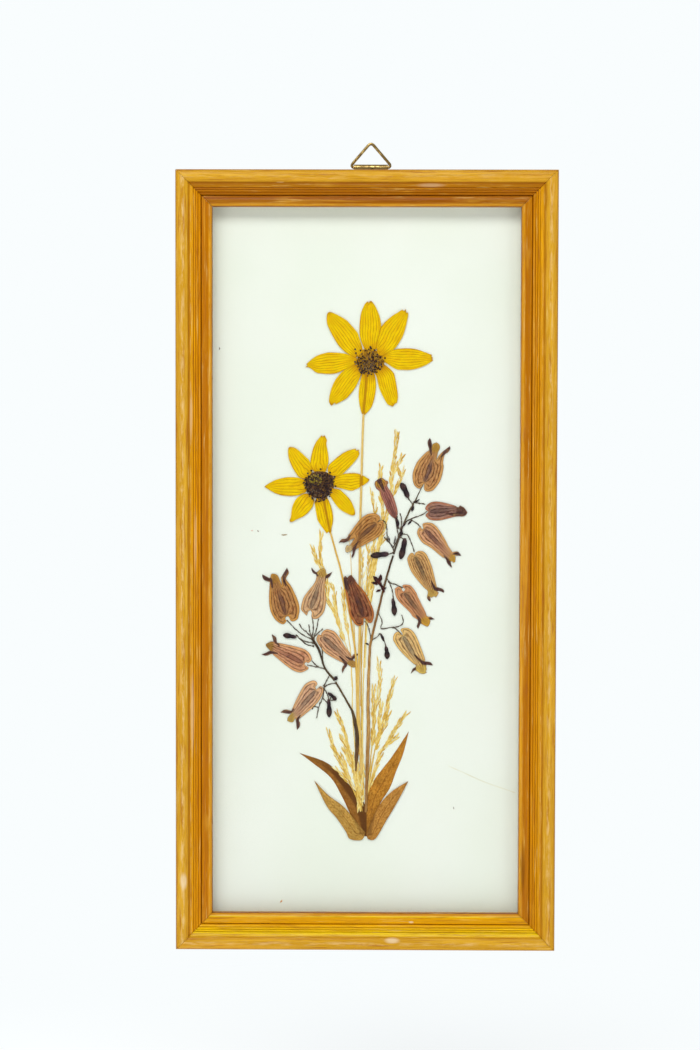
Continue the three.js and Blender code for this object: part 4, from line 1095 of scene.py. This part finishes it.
def leaf(node, lift, colour, edges, beneath, seed, fold=None):
    """A lance-shaped blade between two edges, each from tip to base."""
    edges = runs(edges)
    above, below = [curve(edge, 0.5) for edge in edges]
    outline = np.vstack([above, below[::-1][1:-1]])
    tip, base = np.array(edges[0][0]), np.array(edges[0][-1])
    length = np.linalg.norm(tip - base)
    local = axes(base, (tip - base) / length)

    def relief(flat, edge):
        creases = 0.08 * ripple(flat, 3.0, seed) * smooth_step(edge, 0, 1)
        return 0.05 + 0.16 * (1 - np.exp(-edge / 0.7)) + creases

    shape = blade(outline, 0.42, lift, relief, local)
    flat = shape[0][:, :2]
    to_above = line_distance(flat, above)
    to_below = line_distance(flat, below)
    vein = (to_below - to_above) / np.maximum(to_above + to_below, 0.2)
    wobble = ripple(flat, 3.2, seed + 2)
    tint = tone(colour) * (1 + 0.16 * wobble[:, None])
    under = shadowed(flat, beneath, 0.8) * 0.5
    if fold is not None:
        under = np.maximum(under, fold(vein, local(flat)[:, 1] / length))
    made = Batch()
    made.add(shape, vein=vein, tint=tint, under=np.clip(under, 0, 1))
    made.build(f"{node}_look", [LEAF], "dry_leaf", [node])
    return outline


def leaves():
    curled = lambda vein, s: smooth_step(vein, -0.35, 0.15) * smooth_step(0.95 - s, 0, 0.35) * 0.85
    shaded = lambda vein, s: (1 - smooth_step(s, 0.0, 0.35)) * 0.4
    first = leaf("leaf_1", LOW, (158, 106, 42),
        "-27.6,-79.4 -15.7,-83.8 -8,-91.3 -1.4,-98.6 0.6,-105 0.6,-114.2 / -27.6,-79.4 "
        "-22.1,-83.5 -14.4,-89.8 -9.8,-97.5 -6,-105.6 -2,-114.2",
        [], 71, curled)
    third = leaf("leaf_3", LOW, (198, 137, 46),
        "17.9,-70.3 10.8,-81.1 3.6,-90.7 0.6,-98 0.3,-106 0.3,-114.2 / 17.9,-70.3 15.5,-79.9 "
        "12.7,-87 10,-94.2 5.6,-101.6 2.4,-114.2",
        [], 72, shaded)
    leaf("leaf_2", LAP, (202, 160, 78),
        "-21.3,-90.8 -15.3,-97.1 -8.6,-102.2 0.1,-112.6 / -21.3,-90.8 -16.1,-101.4 -12.1,-106.3 "
        "-8.2,-112 -6.4,-115.2 -1.6,-115.6 0.1,-112.6",
        [first], 73)
    leaf("leaf_4", LAP, (198, 143, 66),
        "17.7,-91 10.4,-95.8 4.9,-102.4 0.4,-113.2 / 17.7,-91 13.6,-99 8.5,-107.8 4.2,-115 "
        "1.2,-115.2 0.4,-113.2",
        [third], 74)


# ---- grass ----------------------------------------------------------------------------------

# each: the stalk from its tip down, how much of it bears spikelets, and how many
GRASSES = [
    ("grass_right", "12.6,52 12.1,47.2 11.5,42.7 10.7,37 10.3,30.4 9.5,23.4 7,13 4.6,4.8 "
     "1.7,-11.7 0.1,-26.2 -1,-53.2 -1.2,-82.2 -0.6,-99", 0.42, 54),
    ("grass_middle", "6,38.2 5.7,33.6 6,27.5 6.6,20.1 5.8,8.9 3.4,-3.5 1.4,-20 -0.7,-40.7 "
     "-1.4,-76", 0.5, 46),
    ("grass_left", "-18.7,10.5 -18.9,6.8 -18.5,-1.5 -16.4,-7.7 -15.6,-15.9 -12.3,-23 "
     "-9.8,-30.4 -6.9,-38.7 -5.6,-49 -5.4,-63.6 -3.9,-82.3 -2.4,-99", 0.42, 44),
    (None, "14.4,42.7 12.7,39.4 11.7,37 10.7,34.5", 0.9, 7),
    (None, "13.5,37 12.7,40.3", 0.9, 3),
    (None, "15.2,36.6 13.6,32.8 11.9,28.7 10.3,25.4", 0.9, 8),
    (None, "2.3,27.9 2.9,23.3 3.5,19.6 3.3,8.9 1.7,-5.5 0.5,-15.9 -0.6,-40", 0.5, 24),
    (None, "7,8.5 4.2,4 2.1,-5.5 0.9,-20 -0.4,-44", 0.5, 18),
    (None, "0.9,6.4 0.9,-3.5 -0.3,-15.9 -1.5,-32.4 -2,-60", 0.45, 16),
    (None, "-1.6,3.9 -1.6,-7.6 -1.9,-20 -1.9,-36.6 -1.6,-70", 0.2, 6),
    (None, "-7,8.4 -5.9,-5.6 -5.2,-20 -4.4,-36.6 -3.7,-58", 0.0, 0),
    (None, "-14.8,-9.7 -13.1,-12.6 -12.7,-17.2 -11.4,-24.2", 0.9, 10),
    (None, "-21.8,5.1 -20.4,0.5 -18.4,-4", 0.9, 7),
    (None, "-9.4,-11.8 -9,-20.1 -7.7,-28.3 -6.4,-36.6 -5.6,-52", 0.5, 12),
    (None, "5.5,-42.4 5.8,-49 5.2,-55.2 3.9,-62.3 3.1,-71.8 2.3,-80.2 1.1,-94.7", 0.6, 26),
    (None, "3.1,-53.2 3.1,-59.8 3.3,-67.7 2.7,-76 1.5,-88.5", 0.7, 20),
    (None, "11.6,-49.4 9.7,-56.4 8.5,-62.3 6.4,-68.9 4.8,-73.9 2.8,-84.3 0.7,-96.8", 0.6, 28),
    (None, "6.4,-59.4 5.6,-66.4 6,-71.8 4,-78.1 1.9,-87.2", 0.7, 18),
    (None, "9.3,-63.5 7.7,-68.1 6,-72.2 4.4,-78.1", 0.8, 12),
    (None, "16.1,-63.9 14.3,-66.4 12.2,-69.7 10.6,-72.2 7.7,-77.2 5.6,-80.1 3.6,-85.6 "
     "0.7,-96.8", 0.6, 24),
    (None, "12.2,-73.5 10.2,-75.1 8.5,-76.8", 0.9, 5),
    (None, "6.1,-81 4.4,-85.6 2.4,-91.4 0.3,-98.9", 0.8, 12),
    (None, "-11.8,-63.6 -10.1,-67.3 -8.4,-71.9 -7.2,-77.3 -5.1,-83.1 -3,-92.7 -1.7,-101", 0.7, 24),
    (None, "-15.1,-71.1 -13,-78.1 -10.9,-82.3 -8.4,-87.3 -5.5,-93.9 -2.6,-100.6", 0.7, 26),
    (None, "-9.7,-73.1 -7.2,-78.1 -5.1,-84.3 -3,-92.7", 0.7, 12),
    (None, "-8.8,-78.5 -6.8,-83.1 -4.7,-88.9", 0.8, 9),
    (None, "-10.1,-81 -8.4,-84.8 -7.2,-88.9 -4.2,-94.7", 0.8, 12),
    (None, "-11.7,-86.9 -8.8,-89.8 -6.3,-92.7 -3.4,-97.7", 0.6, 6),
    (None, "-2.5,-102 -3,-92 -3.4,-80", 0.9, 22),
    (None, "-1.9,-101 -1.5,-92 -0.9,-80", 0.9, 18),
    (None, "-3,-97.5 -4.4,-89 -5,-79", 0.9, 14),
]


def spikelet(at, degrees, length, width, lift, seed):
    """One husk of grass: a slim pointed flattened grain."""
    path = turned([(0, 0), (0.04, length * 0.3), (0.02, length * 0.7), (0, length)], at, degrees)
    radii = (0.06, width * 0.42, width / 2, width * 0.42, 0.05)
    return tube(curve(path, length / 6), radii, 0.5, 6, lift, seed)


DENSITY = 1.8  # spikelets for each one counted
CROSSING = -97  # a grass whose tip is below this lies over the leaves


def grass(line, share, count, lift, seed):
    """A stalk with spikelets along the share of it nearest its tip."""
    rng = random.Random(seed)
    made = Batch()
    path = shaken(curve(line, 0.6), 0.08, 5, seed, seed + 4)
    radii = (0.08, 0.13, 0.17, 0.2, 0.26)
    made.add(tube(path, radii, 0.5, 8, lift - 0.12, seed), tint=straw_tone(rng))
    count = int(count * DENSITY)
    for i in range(count):
        t = share * (i + rng.uniform(0, 0.8)) / count
        k = min(int(t * (len(path) - 1)), len(path) - 2)
        run = path[k] - path[k + 1]
        heading = math.degrees(math.atan2(run[0], run[1]))
        turn = (11 if i % 2 else -11) * rng.uniform(0.1, 1.4)
        off = turned([((0.25 if i % 2 else -0.25) * rng.uniform(0.2, 1.9), 0)], path[k], heading)[0]
        grain = spikelet(off, heading + turn, rng.uniform(2.0, 3.4), rng.uniform(0.38, 0.72),
                         lift - 0.14 + rng.uniform(-0.06, 0.06), seed + i)
        made.add(grain, tint=straw_tone(rng))
    return made


STRAW_TONES = [(250, 236, 166), (244, 220, 136), (236, 204, 108), (218, 180, 84)]


def straw_tone(rng):
    return tone(rng.choice(STRAW_TONES))


def grasses():
    rest = Batch()
    for i, (node, text, share, count) in enumerate(GRASSES):
        line = points(text)
        made = grass(line, share, count, BLOOM if line[0][1] < CROSSING else GRASS, 100 + i * 7)
        if node:
            made.build(f"{node}_look", [STRAW], "straw", [node])
        else:
            rest.take(made)
    rest.build("small_grasses", [STRAW], "straw")


# ---- crumbs on the paper --------------------------------------------------------------------


def crumbs():
    made = Batch()
    spots = [((-60.5, 87.4), 0.5, (112, 92, 80)), ((-34.9, -141.4), 0.7, (224, 164, 90)),
             ((-47, 12.6), 0.4, (218, 172, 148)), ((-44.5, 12.4), 0.45, (138, 118, 96)),
             ((36.6, -102.2), 0.5, (160, 155, 144))]
    for i, (at, size, colour) in enumerate(spots):
        path = turned([(0, -size), (0.1, 0), (0, size)], at, 40 * i)
        made.add(tube(curve(path, 0.15), (0.08, size * 0.5, 0.06), 0.4, 8, 0.12, i),
                 tint=tone(colour))
    dash = curve([(-34.9, 10.8), (-33.8, 10.75), (-32.5, 10.9)], 0.2)
    made.add(tube(dash, (0.1, 0.26, 0.24, 0.1), 0.4, 8, 0.1, 3), tint=tone((172, 152, 112)))
    hair = curve([(34.2, -84.7), (40.4, -87.4), (49.9, -91.6), (61.8, -95.7)], 0.8)
    made.add(tube(hair, (0.07, 0.09, 0.07), 0.5, 6, 0.06, 9), tint=tone((238, 240, 212)))
    made.build("plant_crumbs", [STRAW], "straw")


# ---- rails ----------------------------------------------------------------------------------

# section of the moulding before its flutes: inset from the outer edge and height above the back
FACE = points("0,12.2 0.12,13.2 0.5,14.1 1.2,14.65 2.1,14.9 3.2,14.98 4.4,14.85 5.2,14.5 5.7,14.1 "
              "6.4,13.65 7.2,13.3 8.2,13.0 9.4,12.65 10.1,12.2 10.6,11.75 11.1,11.9 11.8,12.2 "
              "12.7,12.32 13.6,12.15 14.4,11.7 14.85,11.05 15.0,10.2")
# each flute is an inset and a depth
FLUTES = [(5.45, 0.22), (7.45, 0.34), (8.35, 0.34), (9.3, 0.36), (10.5, 0.8)]
FLUTE_HALF = 0.17
RABBET = [(15.0, 8.1), (10.7, 8.1), (10.7, 0.3), (10.4, 0.0), (0.35, 0.0), (0.0, 0.35)]
# colour by inset, taken from the top rail's bands with their painted light: shade darkens the slope,
# the flutes and the sight edge, and a painted highlight lightens the lip
ZONES = [(0.0, (176, 112, 20)), (0.8, (222, 168, 42)), (4.8, (224, 170, 42)), (5.8, (200, 136, 12)),
         (7.2, (206, 142, 10)), (8, (204, 136, 6)), (10, (196, 126, 6)), (11.4, (188, 118, 6)),
         (13.2, (186, 114, 6)), (14.1, (226, 160, 34)), (14.7, (226, 158, 40)),
         (15.0, (130, 72, 8))]
RAIL_STEP = 1.6
MITRE_GAP = 0.07


def section():
    """Points round the moulding, their arc length, their groove stain with painted shade, their
    crest wear with painted highlight, how raw they are, and tint.
    """
    face = curve(FACE, 0.12)
    face[:, 0] = np.clip(face[:, 0], 0, RAIL_W)
    # painted shade with stain in the flutes, at the foot of the crown and at the sight edge
    groove_stain_and_shade = np.zeros(len(face))
    for inset, depth in FLUTES:
        dip = bell(face[:, 0], inset, FLUTE_HALF)
        face[:, 1] -= depth * dip
        groove_stain_and_shade = np.maximum(groove_stain_and_shade, dip * min(0.9, 0.42 + depth))
    groove_stain_and_shade = np.maximum(groove_stain_and_shade, smooth_step(face[:, 0], 14.8, 15.0) * 0.6)
    groove_stain_and_shade = np.maximum(groove_stain_and_shade, bell(face[:, 0], 5.7, 0.38) * 0.62)
    # wear with a painted highlight on the crown, a thin ridge and the lip
    crest_wear_and_highlight = bell(face[:, 0], 3.0, 0.8) * 0.6 + bell(face[:, 0], 13.9, 0.35) * 0.2
    crest_wear_and_highlight += bell(face[:, 0], 6.3, 0.2) * 0.3
    back = np.array(RABBET)
    ring = np.vstack([face, back])
    stops, shades = [inset for inset, _ in ZONES], np.array([tone(colour) for _, colour in ZONES])
    tint = spread(ring[:, 0], stops, shades)
    none = np.zeros(len(back))
    raw = np.concatenate([np.zeros(len(face)), np.ones(len(back) - 1), [0.0]])
    groove_stain_and_shade, crest_wear_and_highlight = np.concatenate([groove_stain_and_shade, none]), np.concatenate([crest_wear_and_highlight, none])
    return ring, travelled(ring), groove_stain_and_shade, crest_wear_and_highlight, raw, tint


def rail(name, length, reach, turn, seed, worn, dark, inner, bead=(0.82, 0.76, 0.7)):
    """One length of moulding with mitred ends, made along the top and turned to its side. inner and
    bead scale the colour from the flutes inwards and on the bead at the sight edge, as painted light
    and shade set rail by rail."""
    ring, arc, groove_stain_and_shade, crest_wear_and_highlight, raw, tint = section()
    inset = ring[:, 0]
    # painted light and shade on the slope and flutes, set by inner: a deeper orange on every rail,
    # darker on the top rail and lighter on the others
    slope = smooth_step(inset, 4.9, 6.2) * (1 - smooth_step(inset, 13.7, 14.2))
    tint = np.minimum(tint * blend(np.ones(3), np.array(inner), slope), 0.95)
    # painted shade on the bead, set by bead, least on the bottom rail
    on_bead = smooth_step(inset, 10.6, 11.6) * (1 - smooth_step(inset, 13.5, 14.2))
    tint = tint * blend(np.ones(3), np.array(bead), on_bead)
    half = length / 2 - inset - MITRE_GAP
    near_end = np.array([0, 0.25, 0.6])
    between = np.linspace(2, length - 2, int(length / RAIL_STEP))
    t = np.concatenate([near_end, between, length - near_end[::-1]]) / length * 2 - 1
    rows = len(ring)
    u, high = np.tile(inset, len(t)), np.tile(ring[:, 1], len(t))
    x = (half[None] * t[:, None]).ravel()
    dip = np.array([noise.noise(Vector((a / 16, b * 1.7, seed))) for a, b in zip(x, u)]) * 0.05
    on_face = np.tile(raw, len(t)) < 0.5
    ease_end = np.repeat(np.exp(-np.minimum(1 + t, 1 - t) * length / 2 / 0.25), rows) * 0.12
    high = np.where(on_face & (high > 1), high + dip - ease_end, high)
    z = reach - u
    angle = turn * math.pi / 2
    world = np.stack([MID_X / MM + x * math.cos(angle) + z * math.sin(angle), BACK_Y / MM - high,
                      MID_Z / MM - x * math.sin(angle) + z * math.cos(angle)], 1)
    along = np.tile(arc, len(t)) + seed * 31
    grain = np.column_stack([x + seed * 400, along, np.full(len(x), seed)])
    made = Batch()
    made.add((world, skin(len(t), rows), {
        "grain": grain, "groove_stain_and_shade": np.tile(groove_stain_and_shade, len(t)) * dark,
        "crest_wear_and_highlight": np.tile(crest_wear_and_highlight, len(t)) * worn, "raw": np.tile(raw, len(t)),
        "tint": np.tile(tint, (len(t), 1))}))
    made.build(f"{name}_look", [PINE], "pine", [name], metres=to_metres)


def rails():
    # each rail: worn scales the crest's wear and painted highlight, dark the painted shade in its
    # grooves, inner the painted light and shade on its slope, bead the painted shade on its bead
    rail("rail_top", FRAME_W, FRAME_H / 2, 0, 1.0, 0.4, 1.0, (0.86, 0.78, 0.3))
    rail("rail_right", FRAME_H, FRAME_W / 2, 1, 2.0, 0.9, 0.75, (1.3, 1.4, 0.25))
    rail("rail_bottom", FRAME_W, FRAME_H / 2, 2, 3.0, 0.8, 0.6, (1.85, 2.5, 0.3), (0.93, 0.96, 0.8))
    rail("rail_left", FRAME_H, FRAME_W / 2, 3, 4.0, 1.25, 0.9, (1.4, 1.5, 0.25))


# ---- sheets, brads and hanger ---------------------------------------------------------------


def dress(node, look):
    """Gives a CAD node that keeps its shape its finish."""
    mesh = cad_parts[node].data
    mesh.materials.clear()
    mesh.materials.append(look)


def sheets():
    dress("mount_paper", PAPER)
    dress("backing_board", BOARD)
    dress("glass_pane", GLASS)
    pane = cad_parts["glass_pane"]
    pane.visible_shadow = False
    pane.visible_diffuse = False
    for end in ("upper", "lower"):
        for side in ("left", "right"):
            dress(f"brad_{end}_{side}", STEEL)


def hanger():
    for node in ("hanger_strap", "strap_pin_left", "strap_pin_right", "hanger_triangle"):
        dress(node, BRASS)


# ---- stage, light and camera ----------------------------------------------------------------

BACKGROUND = rgb(249, 253, 254)
BLACK = (0.0, 0.0, 0.0, 1.0)
FLOOR_RADIUS = 9.0
FLOOR_DROP = 0.12  # from the frame's foot down to the floor


def stage():
    """A floor that glows: matte with a dim glow near the frame, and away from it only a glow of the
    background's own colour.
    """
    look = Look("pale_floor", specular=0.0, roughness=0.9)
    at = look.place()
    reach = look.node("VectorMath", {0: at}, operation="LENGTH").outputs["Value"]
    far = look.ease(reach, 0.1, 0.5)
    colour = look.mix(look.noise(at, 3.0, 2), rgb(250, 252, 252), rgb(248, 251, 251))
    colour = look.mix(far, colour, BLACK)
    glow = look.mix(far, rgb(150, 153, 154), BACKGROUND)
    look.feed(look.shader, {"Emission Color": glow, "Emission Strength": 1.0})
    look.wear(colour)
    bpy.ops.mesh.primitive_circle_add(vertices=96, radius=FLOOR_RADIUS, fill_type="NGON",
                                      location=(MID_X, BACK_Y, CAD_BOX[0][2] - FLOOR_DROP))
    floor = bpy.context.object
    floor.name = "floor"
    floor.data.materials.append(look.material)
    floor.visible_glossy = False
    floor.visible_transmission = False


def sky():
    """Soft light from all round but the front, where the pane would mirror it."""
    world = bpy.data.worlds.new("studio")
    bpy.context.scene.world = world
    world.use_nodes = True
    nodes, links = world.node_tree.nodes, world.node_tree.links
    fill = nodes["Background"]
    fill.inputs["Color"].default_value = (1.0, 1.0, 1.0, 1.0)
    split = nodes.new("ShaderNodeSeparateXYZ")
    links.new(nodes.new("ShaderNodeTexCoord").outputs["Generated"], split.inputs[0])
    dim = nodes.new("ShaderNodeMapRange")
    dim.interpolation_type = "SMOOTHSTEP"
    for key, value in {"From Min": -0.85, "From Max": -0.1, "To Min": 0.05, "To Max": 0.62}.items():
        dim.inputs[key].default_value = value
    links.new(split.outputs["Y"], dim.inputs["Value"])
    links.new(dim.outputs[0], fill.inputs["Strength"])
    seen = nodes.new("ShaderNodeBackground")
    seen.inputs["Color"].default_value = BACKGROUND
    choose = nodes.new("ShaderNodeMixShader")
    path = nodes.new("ShaderNodeLightPath")
    links.new(path.outputs["Is Camera Ray"], choose.inputs[0])
    links.new(fill.outputs[0], choose.inputs[1])
    links.new(seen.outputs[0], choose.inputs[2])
    links.new(choose.outputs[0], nodes["World Output"].inputs["Surface"])


def softbox(name, offset, size, power):
    """An area light at an offset from the frame's middle, in metres, that faces it."""
    lamp = bpy.data.lights.new(name, "AREA")
    lamp.shape = "RECTANGLE"
    lamp.size, lamp.size_y = size
    lamp.energy = power
    box = bpy.data.objects.new(name, lamp)
    bpy.context.collection.objects.link(box)
    target = Vector((MID_X, PAPER_Y, MID_Z))
    box.location = target + Vector(offset)
    box.rotation_euler = (target - box.location).to_track_quat("-Z", "Y").to_euler()


def lights():
    """A large key light from above and two weak fills. Each: offset, size and power in watts."""
    softbox("key", (-0.19, -1.36, 1.18), (1.12, 0.64), 18.4)
    softbox("left_fill", (-0.78, -0.95, -0.12), (0.4, 0.8), 1.9)
    softbox("right_fill", (0.78, -0.95, -0.12), (0.4, 0.8), 1.9)


LENS, SENSOR = 85, 36
EYE = (0.0044, -1.0255, 0.0604)  # from the middle of the frame's back, in metres
TILT, SWING, ROLL = math.radians(-2.55), math.radians(0.62), math.radians(-0.13)


def camera():
    lens = bpy.data.cameras.new("camera")
    lens.lens = LENS
    lens.sensor_width = SENSOR
    eye = bpy.data.objects.new("camera", lens)
    bpy.context.collection.objects.link(eye)
    back_mid = Vector((MID_X, BACK_Y, MID_Z))
    turn = Matrix.Rotation(SWING, 3, "Z") @ Matrix.Rotation(TILT, 3, "X")
    turn = turn @ Matrix.Rotation(ROLL, 3, "Y") @ Matrix.Rotation(math.pi / 2, 3, "X")
    eye.matrix_world = Matrix.Translation(back_mid + Vector(EYE)) @ turn.to_4x4()
    bpy.context.scene.camera = eye
    bpy.context.scene.view_settings.view_transform = "Standard"


camera()
lights()
sky()
stage()
rails()
sheets()
hanger()
leaves()
grasses()
sprays()
yellow_flowers()
heart_flowers()
crumbs()
